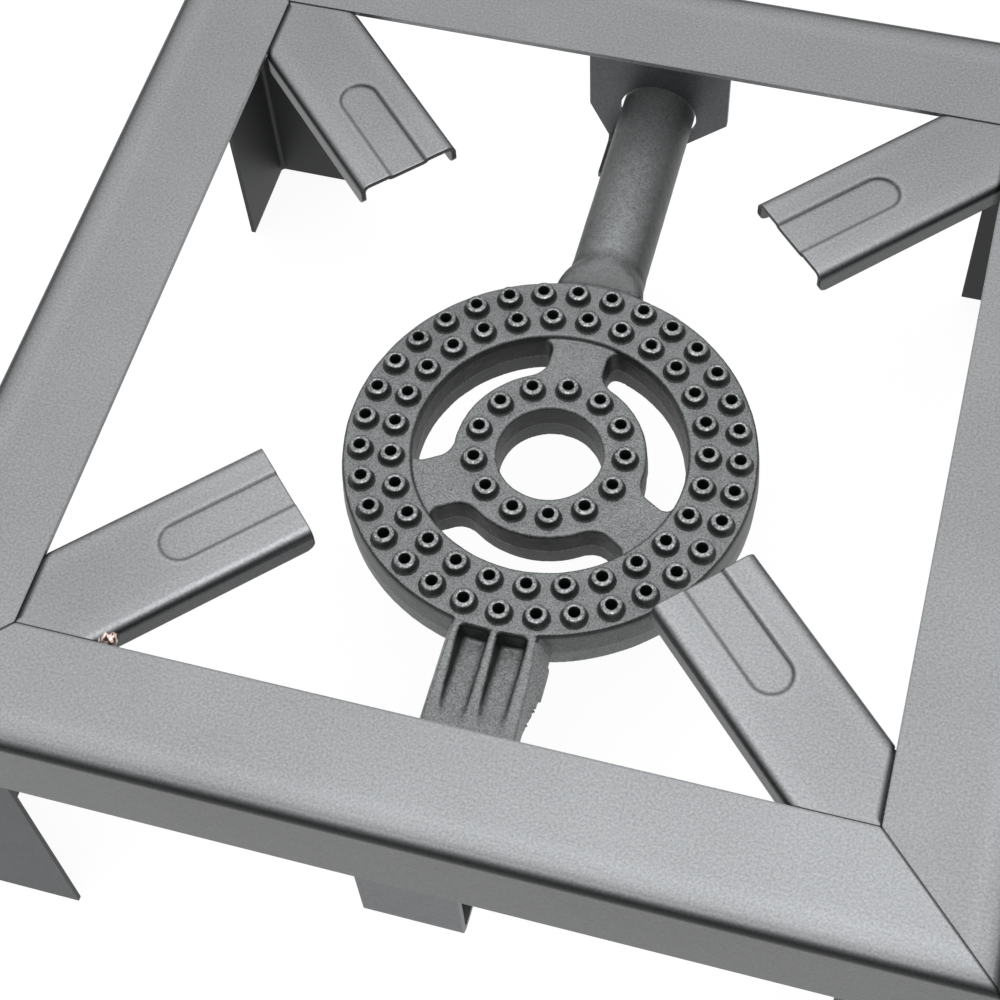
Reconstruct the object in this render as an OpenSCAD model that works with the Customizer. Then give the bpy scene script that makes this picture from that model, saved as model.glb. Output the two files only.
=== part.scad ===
// Single gas boiling ring: a cast iron double-ring burner slung in a welded steel
// frame with four pan supports and four legs, fed by a brass tap behind its mixing tube.
// Millimetres, +Z up, the floor at z = 0. The pans' side with the ribbed arm is -Y,
// the gas side is +Y, and the origin is under the middle of the whole outline.

/* [Frame] */
// Outside width and depth of the square frame
frame_w = 400; // [360:5:460]
// Height of the frame's top face above the floor
frame_h = 170; // [155:5:230]
// Width of each rail's top flange
rail_w = 46; // [38:1:52]
// Depth of each rail's side flange
rail_h = 42; // [36:1:50]
// Thickness of the folded steel sheet
sheet = 2; // [1.5:0.25:2.5]
// Inside radius of the sheet's folds
fold_r = 2; // [1:0.5:3]
// Open seam between two welded pieces
seam = 0.3; // [0.1:0.1:0.5]

/* [Pan supports] */
// Width of a support across its channel
support_w = 43.6; // [36:0.2:50]
// Depth of a support's side flanges
support_h = 11; // [10:0.5:20]
// Distance from the burner's axis to a support's tip
support_tip = 110; // [95:1:125]
// Corner radius at the lower end of a support's flanges
support_corner = 4; // [2:0.5:6]
// Width of the pressed panel in a support's top
panel_w = 17; // [10:0.5:22]
// Length of the pressed panel from the tip
panel_len = 51; // [30:1:60]
// Depth of the pressed panel
panel_d = 1; // [0.5:0.1:1.4]
// How far the panel's bulge is wider below than its hollow above
panel_lip = 1.2; // [0.8:0.1:2]

/* [Legs] */
// Width of a leg's flanges at the top
leg_top_w = 47; // [40:1:60]
// Width of a leg's flanges at the floor
leg_foot_w = 45; // [30:1:50]

/* [Burner rings] */
// Drop from the frame's top face to the outer nozzles' tips
flame_gap = 60; // [45:1:65]
// Radius of the outer ring at its face
outer_r = 84.4; // [84:0.2:90]
// Radius of the outer ring's opening at its face
outer_hole_r = 56.5; // [54:0.1:58]
// Radius of the inner ring at its face
inner_r = 39.4; // [37:0.1:42]
// Radius of the inner ring's centre hole at its face
inner_hole_r = 21.8; // [18:0.1:24]
// Height of the outer ring's face above the casting's parting plane
face_up = 13.1; // [11:0.1:15]
// Drop from the outer ring's face to the inner ring's face
face_drop = 2.3; // [1:0.1:4]
// Depth of the rings below the parting plane
belly = 9.8; // [8:0.1:14]
// Draft of the rings' walls, from the face to the parting plane
draft = 0.8; // [0.2:0.1:1.2]
// Step in the walls at the parting plane
parting_step = 0.4; // [0.1:0.1:0.8]
// Radius of the rounded outer edge of a ring's face
edge_r = 1.5; // [0.5:0.1:2]
// Wall of the hollow rings
wall = 4.2; // [3:0.1:5]
// Width of the three spokes at their top
spoke_w = 23.5; // [18:0.5:26]
// Radius of the fillets where a spoke meets a ring
spoke_fillet = 4.5; // [2:0.5:6]

/* [Nozzles] */
// Radius of the outermost row of nozzles
row_a_r = 77; // [76:0.1:78]
// Number of nozzles in the outermost row
row_a_n = 33; // [24:1:36]
// Radius of the second row of nozzles
row_b_r = 64.2; // [63.5:0.1:65]
// Number of nozzles in the second row
row_b_n = 27; // [20:1:28]
// Radius of the inner ring's row of nozzles
row_c_r = 30.9; // [30:0.1:32]
// Number of nozzles in the inner ring's row
row_c_n = 13; // [8:1:14]
// Height of a nozzle above its ring's face
nozzle_h = 4.4; // [3:0.1:6]
// Radius of a nozzle's machined tip
nozzle_tip_r = 4.15; // [3.5:0.05:4.5]
// Radius of a nozzle's foot
nozzle_foot_r = 4.8; // [4.5:0.05:5.2]
// Radius of the drilled flame port
port_r = 2.1; // [1:0.05:2.6]

/* [Ribbed arm] */
// Width of the arm at the parting plane
arm_w = 40; // [36:1:46]
// Gap between the arm's end and the front hanger
arm_end_gap = 5; // [2:0.5:8]
// Drop of the arm's rib tops below the outer ring's face, at the ring
arm_drop = 0.6; // [0.3:0.1:2]
// Fall of the rib tops from the ring to where they bend down to the pad
arm_fall = 3.5; // [1:0.1:4.5]
// Depth of the two channels between the ribs, at the ring
arm_channel_d = 10.5; // [8:0.1:11]
// Distance from the burner's axis to where the channels run out
arm_channel_end = 120; // [114:1:134]
// Draft of the arm's outer sides, from the rib tops to the parting plane
arm_draft = 3.2; // [2:0.1:4]
// Depth of the arm below the parting plane
arm_belly = 6; // [4:0.5:9]
// Distance from the arm's end to its bolt
arm_bolt_edge = 16; // [14:0.5:18]
// Width of a rib's top
arm_rib = 2.8; // [2:0.1:4]
// Draft of the channels' walls, from the floor to the rib tops
arm_channel_draft = 2; // [1:0.1:3]
// Thickness of the arm's bolting pad
pad_t = 11; // [8:0.5:14]

/* [Mixing tube] */
// Outer radius of the tube at the ring
tube_r = 16.5; // [16:0.1:18]
// Outer radius of the tube at its mouth
tube_mouth_r = 16.6; // [16:0.1:19]
// How far the tube's mouth stands out behind the frame
tube_out = 14; // [12:1:30]
// Distance from the burner's axis to where the tube widens into the ring
neck_y = 100; // [97:1:112]
// Width of the widened neck at the ring
neck_w = 38; // [36:1:50]
// Bore radius at the mouth
bore_r = 13.2; // [12.5:0.1:13.6]
// Bore radius at the throat
throat_r = 10.5; // [8:0.1:12]
// Thickness of the end wall with the air windows
end_wall = 4; // [3:0.5:6]
// Number of air windows
window_n = 3; // [2:1:3]
// Angle that one air window spans
window_a = 54; // [40:1:56]
// Inner radius of the air windows
window_in_r = 8.8; // [8.6:0.1:9.4]
// Outer radius of the air windows
window_out_r = 12.8; // [11.5:0.1:13]
// Radius of the hub in the end wall
hub_r = 8.2; // [7.5:0.1:8.4]
// Length of the hub
hub_len = 11; // [8:1:14]

/* [Hangers] */
// Thickness of the two hangers
hanger_t = 3; // [2:0.5:4]
// Inside radius of the hangers' folds
hanger_fold = 3; // [2:0.5:4]
// Width of the front hanger
front_hanger_w = 38; // [30:1:40]
// Length of the front hanger's tab, fold included
front_tab = 34; // [30:1:40]
// Width of the rear hanger's plate
rear_hanger_w = 64; // [58:1:76]
// Width of the rear hanger's tab
rear_tab_w = 34; // [24:1:36]
// Sideways offset of the rear hanger's tab from the tube's axis
rear_tab_off = 6; // [0:0.5:8]
// Length of the rear hanger's tab, fold included
rear_tab = 24; // [22:1:30]
// Clearance round the tube in the rear hanger
tube_clear = 1.2; // [0.8:0.1:2]
// Height of the boss under the mixing tube
boss_h = 6; // [5:0.5:8]
// Radius of the boss under the mixing tube
boss_r = 8; // [7:0.5:9]

/* [Fasteners] */
// Radius of the two hanger bolts
bolt_r = 4; // [3:0.5:4]
// Clearance round a bolt in its hole
bolt_clear = 0.5; // [0.3:0.1:0.8]
// Width across the flats of the bolts and the nut
bolt_af = 13; // [11:0.5:14]
// Height of the bolts' heads
head_h = 5.3; // [4:0.1:6]
// Height of the nut
nut_h = 6.5; // [5:0.5:7]
// Outer radius of the washers
washer_r = 8; // [7.6:0.2:8.8]
// Thickness of the washers
washer_t = 1.6; // [1:0.1:2]
// Extra length of the slot in the arm
slot_play = 8; // [4:1:10]

/* [Injector and air shutter] */
// Radius of the holder's threads
thread_r = 6; // [5:0.5:6.5]
// Radius of the shoulder that the shutter turns on
shoulder_r = 7.6; // [7.2:0.1:8]
// Running clearance of turning pieces
run_clear = 0.08; // [0.05:0.01:0.1]
// Width across the flats of the holder's hexagon
holder_af = 20; // [18:1:24]
// Length of the holder's hexagon
holder_hex = 7; // [5:1:10]
// Length of the thread into the tap
tap_thread = 8; // [6:1:8]
// Thickness of the shutter disc
shutter_t = 1.5; // [1:0.1:2]
// Radius of the shutter disc
shutter_r = 17; // [15:0.5:17]
// Reach of the shutter's finger tab from the tube's axis
shutter_tab_r = 25; // [22:1:28]
// Width of the finger tab
shutter_tab_w = 9; // [6:0.5:12]
// Length of the finger tab's folded end
shutter_tab_fold = 7; // [4:0.5:9]
// Thickness of the wave washer
wave_t = 0.3; // [0.2:0.1:0.5]
// Width across the flats of the injector
injector_af = 9; // [8:1:10]
// Radius of the injector's orifice
orifice_r = 0.5; // [0.4:0.05:0.8]

/* [Gas tap] */
// Distance from the tube's mouth to the tap's spindle
tap_y_from_mouth = 32; // [31:1:40]
// Radius of the tap's barrel
barrel_r = 11.5; // [11:0.5:13]
// Half height of the plug
plug_half = 10; // [9.5:0.5:12]
// Radius of the plug at its lower end
plug_low_r = 5.6; // [4.8:0.1:6]
// Radius of the plug at its upper end
plug_high_r = 7.2; // [6.6:0.1:7.4]
// Radius of the gas way through the tap
way_r = 2.4; // [2:0.1:3]
// Radius of the spindle
spindle_r = 3; // [2.5:0.1:3]
// Travel of the knob when it is pressed
press = 3; // [2:0.5:3.5]
// Radius of the spindle's collar
collar_r = 5.4; // [5:0.1:5.8]
// Height of the spring at rest
spring_h = 6; // [5.5:0.5:8]
// Radius of the spring's wire
wire_r = 0.4; // [0.3:0.05:0.45]
// Radius of the knob
knob_r = 17; // [14:0.5:20]
// Height of the knob
knob_h = 18; // [14:1:24]
// Gap under the knob
knob_gap = 5; // [4:0.5:8]

/* [Hose inlet] */
// Radius of the inlet's thread
inlet_r = 6.58; // [6.3:0.02:6.6]
// Length of the inlet's thread
inlet_thread = 9; // [7:1:12]
// Width across the flats of the union nut
union_af = 19; // [18:1:22]
// Length of the union nut
union_len = 14; // [12:1:18]
// Radius of the hose tail between its barbs
tail_r = 4.1; // [3.5:0.1:4.4]
// Radius over the hose tail's barbs
barb_r = 4.9; // [4.4:0.1:5.2]
// Number of barbs
barb_n = 4; // [3:1:6]
// Length of one barb
barb_len = 5; // [4:0.5:6]

/* [Hidden] */
$fn = 72;

// Overrun of a cut past the face that it opens
eps = 0.5;
half = frame_w / 2;
inside = half - sheet;
opening = half - rail_w;
fold_out = fold_r + sheet;
root_r = opening * sqrt(2);
leg_top = frame_h - fold_out;

tips_z = frame_h - flame_gap;
face_z = tips_z - nozzle_h;
part_z = face_z - face_up;
inner_face_z = face_z - face_drop;
belly_z = part_z - belly;
arm_top = face_z - arm_drop;
arm_bottom = part_z - arm_belly;
arm_reach = inside - hanger_t - arm_end_gap;
arm_bolt_y = arm_bolt_edge - arm_reach;
pad_top = arm_bottom + pad_t;

tube_end = half + tube_out;
tube_bolt_y = inside - hanger_t - hanger_fold - boss_r - seam;
boss_bottom = part_z - tube_mouth_r - boss_h;
hub_start = tube_end - hub_len;
thread_gap = 0.05;
shutter_y = tube_end + thread_gap;
wave_y = shutter_y + shutter_t + thread_gap;
holder_y = wave_y + wave_t + thread_gap;
tap_face_y = holder_y + holder_hex;
tap_y = tube_end + tap_y_from_mouth;
nose_y = hub_start - 3;
injector_len = 9;

plug_top = part_z + plug_half;
collar_z = plug_top + spring_h;
collar_t = 2;
bonnet_z = collar_z + collar_t + thread_gap;
bonnet_h = 5;
bonnet_r = 9;
knob_z = bonnet_z + bonnet_h + knob_gap;
tongue_w = 3;
tongue_in = 2.5;
slot_d = press + tongue_in + 0.3;
barrel_floor = 4;
inlet_arm_r = 8.5;
inlet_face_y = tap_y + 16;
stub_y = inlet_face_y + inlet_thread;
seal_t = 0.8;
tail_flange = 2;
tail_start = stub_y + seal_t;
tail_end = inlet_face_y + union_len + 3 + barb_n * barb_len;

// The origin lies under the middle of the outline, between the front rail and the hose tail
origin_y = (tail_end - half) / 2;

steel = [0.60, 0.62, 0.63];
dark_steel = [0.42, 0.44, 0.46];
iron = [0.33, 0.34, 0.35];
zinc = [0.72, 0.73, 0.74];
brass = [0.78, 0.64, 0.32];
black = [0.10, 0.10, 0.11];
fibre = [0.55, 0.20, 0.14];

function arc(c, r, a0, a1, n) =
    [for (i = [0:n]) let (a = a0 + (a1 - a0) * i / n) [c[0] + r * cos(a), c[1] + r * sin(a)]];
function hex_r(af) = af / 2 / cos(30);

// Moves a piece drawn round the burner's axis to its place over the origin
module placed() {
    translate([0, -origin_y, 0]) children();
}

// Turns an outline in X and Z into a body that runs along Y from y0 to y1
module along_y(y0, y1) {
    translate([0, y1, 0]) rotate([90, 0, 0]) linear_extrude(y1 - y0) children();
}

// Turns an outline in Y and Z into a body that runs along X from x0 to x1
module along_x(x0, x1) {
    translate([x0, 0, 0]) rotate([90, 0, 90]) linear_extrude(x1 - x0) children();
}

// Round bar on the mixing tube's axis
module round_y(y0, y1, r0, r1) {
    translate([0, y0, part_z]) rotate([-90, 0, 0]) cylinder(h = y1 - y0, r1 = r0, r2 = r1);
}

// Hexagon bar on the mixing tube's axis
module hex_y(y0, y1, af) {
    translate([0, y0, part_z]) rotate([-90, 0, 0]) cylinder(h = y1 - y0, r = hex_r(af), $fn = 6);
}

// Folded angle: outer corner at the origin, one flange to +X and one to -Y
module angle_profile(w, h, t, r) {
    out = r + t;
    translate([out, -t]) square([w - out, t]);
    translate([0, -h]) square([t, h - out]);
    translate([out, -out]) difference() {
        intersection() {
            circle(out);
            translate([-out, 0]) square(out);
        }
        circle(r);
    }
}

// Outline with a straight open end at x = 0 and a round end at x = len
module tongue(len, w) {
    translate([-eps, -w / 2]) square([len - w / 2 + eps, w]);
    translate([len - w / 2, 0]) circle(w / 2);
}

// Corner that a rounding of radius r takes off, with the corner at the origin
module corner_cut(r) {
    difference() {
        translate([-eps, -eps]) square(r + eps);
        translate([r, r]) circle(r);
    }
}

// One rail of the frame, mitred at both ends; the four are quarter turns of each other
module rail_at(turn) {
    cut = seam / sqrt(2);
    reach = rail_w + 1;
    color(steel) placed() rotate([0, 0, turn]) intersection() {
        translate([0, -half, frame_h]) along_x(-half, half) angle_profile(rail_w, rail_h, sheet, fold_r);
        linear_extrude(frame_h + eps) polygon([[cut - half, -half], [half - cut, -half],
            [half - cut - reach, reach - half], [cut - half + reach, reach - half]]);
    }
}
module front_rail() { rail_at(0); }
module right_rail() { rail_at(90); }
module rear_rail() { rail_at(180); }
module left_rail() { rail_at(270); }

// Channel with its top on y = 0
module channel_profile(w, h) {
    for (side = [0, 1]) mirror([side, 0]) translate([-w / 2, 0]) angle_profile(w / 2, h, sheet, fold_r);
}

// Pan support on the diagonal that lies turn degrees from +X
module support_at(turn) {
    root = root_r - seam * sqrt(2);
    color(steel) placed() rotate([0, 0, turn]) difference() {
        union() {
            intersection() {
                translate([0, 0, frame_h]) along_x(support_tip, root) channel_profile(support_w, support_h);
                linear_extrude(frame_h + eps) polygon([[root, 0], [root - support_w, support_w],
                    [0, support_w], [0, -support_w], [root - support_w, -support_w]]);
            }
            translate([support_tip, 0, frame_h - sheet - panel_d]) intersection() {
                linear_extrude(panel_d) tongue(panel_len + panel_lip, panel_w + 2 * panel_lip);
                translate([0, -panel_w, 0]) cube([panel_len + panel_w, 2 * panel_w, panel_d]);
            }
        }
        translate([support_tip, 0, frame_h - panel_d]) linear_extrude(panel_d + eps)
            tongue(panel_len, panel_w);
        translate([support_tip, support_w / 2 + eps, frame_h - support_h]) rotate([90, 0, 0])
            linear_extrude(support_w + 2 * eps) corner_cut(support_corner);
    }
}
module support_front_left() { support_at(225); }
module support_front_right() { support_at(315); }
module support_rear_right() { support_at(45); }
module support_rear_left() { support_at(135); }

// Tapered angle leg inside the corner of the rails
module leg_at(turn) {
    color(dark_steel) placed() rotate([0, 0, turn]) translate([-inside, -inside, 0]) difference() {
        linear_extrude(leg_top) mirror([0, 1]) angle_profile(leg_top_w, leg_top_w, sheet, fold_r);
        for (side = [0, 1]) mirror([side, -side, 0])
            along_y(-eps, sheet + eps) polygon([[leg_foot_w, -eps], [leg_foot_w, 0], [leg_top_w, leg_top],
                [leg_top_w + eps, leg_top + eps], [leg_top_w + eps, -eps]]);
    }
}
module leg_front_left() { leg_at(0); }
module leg_front_right() { leg_at(90); }
module leg_rear_right() { leg_at(180); }
module leg_rear_left() { leg_at(270); }

// Strap inside the front rail, folded in under the arm's pad
module front_hanger() {
    rise = leg_top - arm_bottom + hanger_t;
    color(dark_steel) placed() difference() {
        translate([0, -inside, arm_bottom - hanger_t]) along_x(-front_hanger_w / 2, front_hanger_w / 2)
            mirror([0, 1]) angle_profile(front_tab, rise, hanger_t, hanger_fold);
        translate([0, arm_bolt_y, arm_bottom - hanger_t - eps])
            cylinder(h = hanger_t + 2 * eps, r = bolt_r + bolt_clear);
    }
}

// Plate inside the rear rail that the tube passes through, with a tab under the tube's boss
module rear_hanger() {
    rise = leg_top - boss_bottom + hanger_t;
    low = boss_bottom - hanger_t;
    tab_left = -rear_tab_w / 2 - rear_tab_off;
    color(dark_steel) placed() difference() {
        intersection() {
            translate([0, inside, low]) along_x(-rear_hanger_w / 2, rear_hanger_w / 2)
                mirror([1, 0]) mirror([0, 1]) angle_profile(rear_tab, rise, hanger_t, hanger_fold);
            along_y(inside - rear_tab - eps, inside + eps) polygon([
                [-rear_hanger_w / 2, leg_top], [-rear_hanger_w / 2, part_z],
                [tab_left, low + hanger_t + hanger_fold], [tab_left, low],
                [tab_left + rear_tab_w, low], [tab_left + rear_tab_w, low + hanger_t + hanger_fold],
                [rear_hanger_w / 2, part_z], [rear_hanger_w / 2, leg_top]]);
        }
        round_y(inside - hanger_t - eps, inside + eps, tube_mouth_r + tube_clear, tube_mouth_r + tube_clear);
        translate([0, tube_bolt_y, low - eps]) cylinder(h = hanger_t + 2 * eps, r = bolt_r + bolt_clear);
    }
}

// Half section of a ring: walls drafted to the parting plane, outer edge of the face rounded
module ring_section(r_in, r_out, top) {
    polygon(concat(
        [[r_in, top]],
        arc([r_out - edge_r, top - edge_r], edge_r, 90, 0, 4),
        [[r_out + draft, part_z], [r_out + draft - parting_step, part_z - 0.3],
            [r_out + draft - parting_step, belly_z + edge_r], [r_out + draft - parting_step - edge_r, belly_z],
            [r_in - draft + parting_step + edge_r, belly_z], [r_in - draft + parting_step, belly_z + edge_r],
            [r_in - draft + parting_step, part_z - 0.3], [r_in - draft, part_z]]));
}

// Gas space inside a ring
module ring_space(r_in, r_out, top) {
    translate([r_in + wall, belly_z + wall]) square([r_out - r_in - 2 * wall, top - belly_z - 2 * wall]);
}

// Fillet between a spoke's side and a ring, on both sides of the spoke
module spoke_fillets(w, ring_r, sign) {
    reach = ring_r + sign * spoke_fillet;
    cx = w / 2 + spoke_fillet;
    cy = sqrt(reach * reach - cx * cx);
    foot = ring_r / reach;
    for (side = [0, 1]) mirror([side, 0]) difference() {
        polygon([[w / 2 - 1, cy], [w / 2, cy], [cx, cy], [cx * foot, cy * foot],
            [cx * foot - 1, cy * foot - sign * 2], [w / 2 - 1, cy * foot - sign * 2]]);
        translate([cx, cy]) circle(spoke_fillet);
    }
}

// One spoke from the inner ring to the outer, w wide between z0 and z1
module spoke_slab(w, z0, z1) {
    start = inner_r - wall / 2;
    end = outer_hole_r + wall / 2;
    translate([0, 0, z0]) linear_extrude(z1 - z0) {
        translate([-w / 2, start]) square([w, end - start]);
        spoke_fillets(w, inner_r, 1);
        spoke_fillets(w, outer_hole_r, -1);
    }
}

module spoke() {
    spoke_slab(spoke_w, part_z, inner_face_z);
    spoke_slab(spoke_w - 2 * parting_step, belly_z, part_z);
}

// Places a nozzle or a port at each seat of a row
module on_row(r, n, phase) {
    for (i = [0:n - 1]) rotate([0, 0, 90 + (i + phase) * 360 / n]) translate([r, 0, 0]) children();
}

module nozzle(face) {
    sink = 1;
    slope = (nozzle_foot_r - nozzle_tip_r) / nozzle_h;
    translate([0, 0, face - sink])
        cylinder(h = nozzle_h + sink, r1 = nozzle_foot_r + slope * sink, r2 = nozzle_tip_r);
}

module port(face) {
    translate([0, 0, face - wall - eps]) cylinder(h = wall + nozzle_h + 2 * eps, r = port_r);
}

// Arm with three ribs; its two channels rise towards the bolting pad and run out
module arm() {
    top_w = arm_w - 2 * arm_draft;
    start = wall / 2 - outer_r;
    channel_w = (top_w - 3 * arm_rib) / 2;
    floor_z = arm_top - arm_channel_d;
    rise = (pad_top - floor_z) / (arm_channel_end - outer_r);
    bend_y = -(arm_channel_end - 12);
    difference() {
        intersection() {
            along_y(-arm_reach, start) polygon([[-arm_w / 2, part_z], [-top_w / 2, arm_top],
                [top_w / 2, arm_top], [arm_w / 2, part_z],
                [arm_w / 2 - 1, arm_bottom], [1 - arm_w / 2, arm_bottom]]);
            along_x(-arm_w / 2, arm_w / 2) polygon([[start, arm_bottom], [start, arm_top],
                [-outer_r, arm_top], [bend_y, arm_top - arm_fall], [-arm_channel_end - 4, pad_top],
                [-arm_reach, pad_top], [-arm_reach, arm_bottom]]);
            translate([0, 0, arm_bottom]) linear_extrude(arm_top - arm_bottom) {
                translate([-arm_w / 2, arm_w / 2 - arm_reach]) square([arm_w, arm_reach - arm_w / 2 + start]);
                translate([0, arm_w / 2 - arm_reach]) circle(arm_w / 2);
            }
        }
        for (side = [-1, 1]) translate([side * (channel_w + arm_rib) / 2, 0, 0]) intersection() {
            along_y(-arm_channel_end - 20, -outer_r)
                polygon([[arm_channel_draft - channel_w / 2, floor_z], [channel_w / 2 - arm_channel_draft, floor_z],
                    [channel_w / 2 + arm_channel_draft, arm_top + arm_channel_d],
                    [-channel_w / 2 - arm_channel_draft, arm_top + arm_channel_d]]);
            along_x(-channel_w, channel_w) polygon([[-outer_r, floor_z],
                [-arm_channel_end - 20, pad_top + 20 * rise], [-arm_channel_end - 20, arm_top + eps],
                [-outer_r, arm_top + eps]]);
        }
        translate([0, arm_bolt_y, arm_bottom - eps]) linear_extrude(pad_t + 2 * eps) {
            translate([-bolt_r - bolt_clear, -slot_play / 2]) square([2 * (bolt_r + bolt_clear), slot_play]);
            for (side = [-1, 1]) translate([0, side * slot_play / 2]) circle(bolt_r + bolt_clear);
        }
    }
}

// Mixing tube, its widened neck and the boss under it
module tube() {
    neck_edge = 4;
    round_y(neck_y - eps, tube_end, tube_r, tube_mouth_r);
    hull() {
        round_y(neck_y - eps, neck_y, tube_r, tube_r, $fn = 32);
        along_y(outer_r - wall, outer_r - wall / 2) intersection() {
            translate([-neck_w / 2, belly_z]) square([neck_w, inner_face_z - belly_z]);
            union() {
                translate([-neck_w / 2 + neck_edge, belly_z]) square([neck_w - 2 * neck_edge, face_z - belly_z]);
                translate([-neck_w / 2, belly_z + neck_edge]) square([neck_w, part_z - belly_z]);
            }
        }
    }
    translate([0, tube_bolt_y, boss_bottom]) cylinder(h = boss_h + wall, r = boss_r);
}

// Air windows between radii that a disc on the tube's axis is cut through with
module windows(y0, y1) {
    for (i = [0:window_n - 1]) translate([0, y1, part_z]) rotate([90, i * 360 / window_n, 0])
        linear_extrude(y1 - y0) difference() {
            intersection() {
                circle(window_out_r);
                polygon([[0, 0], [2 * window_out_r * sin(window_a / 2), 2 * window_out_r * cos(window_a / 2)],
                    [-2 * window_out_r * sin(window_a / 2), 2 * window_out_r * cos(window_a / 2)]]);
            }
            circle(window_in_r);
        }
}

// Gas spaces inside the casting: rings, spokes, the tube's bore and the threaded hub
module gas_ways() {
    way_w = spoke_w - 2 * wall;
    throat_y = (neck_y + tube_end) / 2;
    rotate_extrude() ring_space(outer_hole_r, outer_r, face_z);
    rotate_extrude() ring_space(inner_hole_r, inner_r, inner_face_z);
    for (i = [0:2]) rotate([0, 0, i * 120]) translate([-way_w / 2, inner_r - 2 * wall, belly_z + wall])
        cube([way_w, outer_hole_r - inner_r + 4 * wall, inner_face_z - belly_z - 2 * wall]);
    difference() {
        union() {
            hull() {
                round_y(neck_y, neck_y + eps, throat_r, throat_r, $fn = 32);
                translate([wall - neck_w / 2, outer_r - 2 * wall, belly_z + wall])
                    cube([neck_w - 2 * wall, eps, face_z - belly_z - 2 * wall]);
            }
            round_y(neck_y, throat_y, throat_r, throat_r);
            round_y(throat_y - eps, tube_end - end_wall, throat_r, bore_r);
        }
        round_y(hub_start, tube_end, hub_r, hub_r);
    }
    windows(tube_end - end_wall - eps, tube_end + eps);
    round_y(hub_start - eps, tube_end + eps, thread_r, thread_r);
    translate([0, tube_bolt_y, boss_bottom - eps]) cylinder(h = boss_h + 2 + eps, r = bolt_r);
}

module burner_casting() {
    color(iron) placed() difference() {
        union() {
            rotate_extrude() ring_section(outer_hole_r, outer_r, face_z);
            rotate_extrude() ring_section(inner_hole_r, inner_r, inner_face_z);
            for (i = [0:2]) rotate([0, 0, i * 120]) spoke();
            on_row(row_a_r, row_a_n, 0.5) nozzle(face_z);
            on_row(row_b_r, row_b_n, 0) nozzle(face_z);
            on_row(row_c_r, row_c_n, 0) nozzle(inner_face_z);
            arm();
            tube();
        }
        gas_ways();
        on_row(row_a_r, row_a_n, 0.5) port(face_z);
        on_row(row_b_r, row_b_n, 0) port(face_z);
        on_row(row_c_r, row_c_n, 0) port(inner_face_z);
    }
}

// Hexagon bolt with its head's top on z = 0 and its shank upwards
module bolt(len) {
    translate([0, 0, -head_h]) cylinder(h = head_h, r = hex_r(bolt_af), $fn = 6);
    cylinder(h = len, r = bolt_r - thread_gap);
}

module washer() {
    difference() {
        cylinder(h = washer_t, r = washer_r);
        translate([0, 0, -eps]) cylinder(h = washer_t + 2 * eps, r = bolt_r + thread_gap);
    }
}

module arm_bolt() {
    color(zinc) placed() translate([0, arm_bolt_y, arm_bottom - hanger_t])
        bolt(hanger_t + pad_t + washer_t + nut_h + 2);
}

module arm_washer() {
    color(zinc) placed() translate([0, arm_bolt_y, pad_top]) washer();
}

module arm_nut() {
    color(zinc) placed() translate([0, arm_bolt_y, pad_top + washer_t]) difference() {
        cylinder(h = nut_h, r = hex_r(bolt_af), $fn = 6);
        translate([0, 0, -eps]) cylinder(h = nut_h + 2 * eps, r = bolt_r);
    }
}

module tube_bolt() {
    color(zinc) placed() translate([0, tube_bolt_y, boss_bottom - hanger_t - washer_t])
        bolt(washer_t + hanger_t + boss_h);
}

module tube_washer() {
    color(zinc) placed() translate([0, tube_bolt_y, boss_bottom - hanger_t - washer_t]) washer();
}

// Brass holder screwed through the hub; the shutter turns on its shoulder
module injector_holder() {
    shoulder_end = holder_y + eps;
    color(brass) placed() difference() {
        union() {
            round_y(nose_y, tube_end + eps, thread_r - thread_gap, thread_r - thread_gap);
            round_y(tube_end, shoulder_end, shoulder_r, shoulder_r);
            hex_y(holder_y, tap_face_y, holder_af);
            round_y(tap_face_y - eps, tap_face_y + tap_thread, thread_r - thread_gap, thread_r - thread_gap);
        }
        round_y(nose_y - eps, tap_face_y + tap_thread + eps, way_r, way_r);
        round_y(nose_y - eps, nose_y + 5, spindle_r + 0.5, spindle_r + 0.5);
    }
}

// Brass jet screwed into the holder's nose
module injector() {
    color(brass) placed() difference() {
        union() {
            round_y(nose_y - eps, nose_y + 4.5, spindle_r + 0.5 - thread_gap, spindle_r + 0.5 - thread_gap);
            hex_y(nose_y - 4, nose_y, injector_af);
            round_y(nose_y - injector_len + 2, nose_y - 4 + 0.2, 2.2, 3.6);
        }
        round_y(nose_y - injector_len + 3.5, nose_y + 5, 1.6, 1.6);
        round_y(nose_y - injector_len, nose_y, orifice_r, orifice_r);
    }
}

// Air shutter: a disc with windows like the end wall's, and a finger tab
module air_shutter() {
    tab_turn = -window_a / 2 - 3;
    color(dark_steel) placed() difference() {
        union() {
            round_y(shutter_y, shutter_y + shutter_t, shutter_r, shutter_r);
            translate([0, 0, part_z]) rotate([0, tab_turn, 0]) {
                translate([-shutter_tab_w / 2, shutter_y, 0]) cube([shutter_tab_w, shutter_t, shutter_tab_r]);
                translate([-shutter_tab_w / 2, shutter_y, shutter_tab_r - shutter_t])
                    cube([shutter_tab_w, shutter_tab_fold, shutter_t]);
            }
        }
        windows(shutter_y - eps, shutter_y + shutter_t + eps);
        round_y(shutter_y - eps, shutter_y + shutter_t + eps, shoulder_r + run_clear, shoulder_r + run_clear);
    }
}

module wave_washer() {
    color(zinc) placed() difference() {
        round_y(wave_y, wave_y + wave_t, shoulder_r + 2, shoulder_r + 2);
        round_y(wave_y - eps, wave_y + wave_t + eps, shoulder_r + thread_gap, shoulder_r + thread_gap);
    }
}

// Upright round bar on the tap's spindle axis
module round_z(z0, z1, r0, r1) {
    translate([0, tap_y, z0]) cylinder(h = z1 - z0, r1 = r0, r2 = r1);
}

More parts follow.
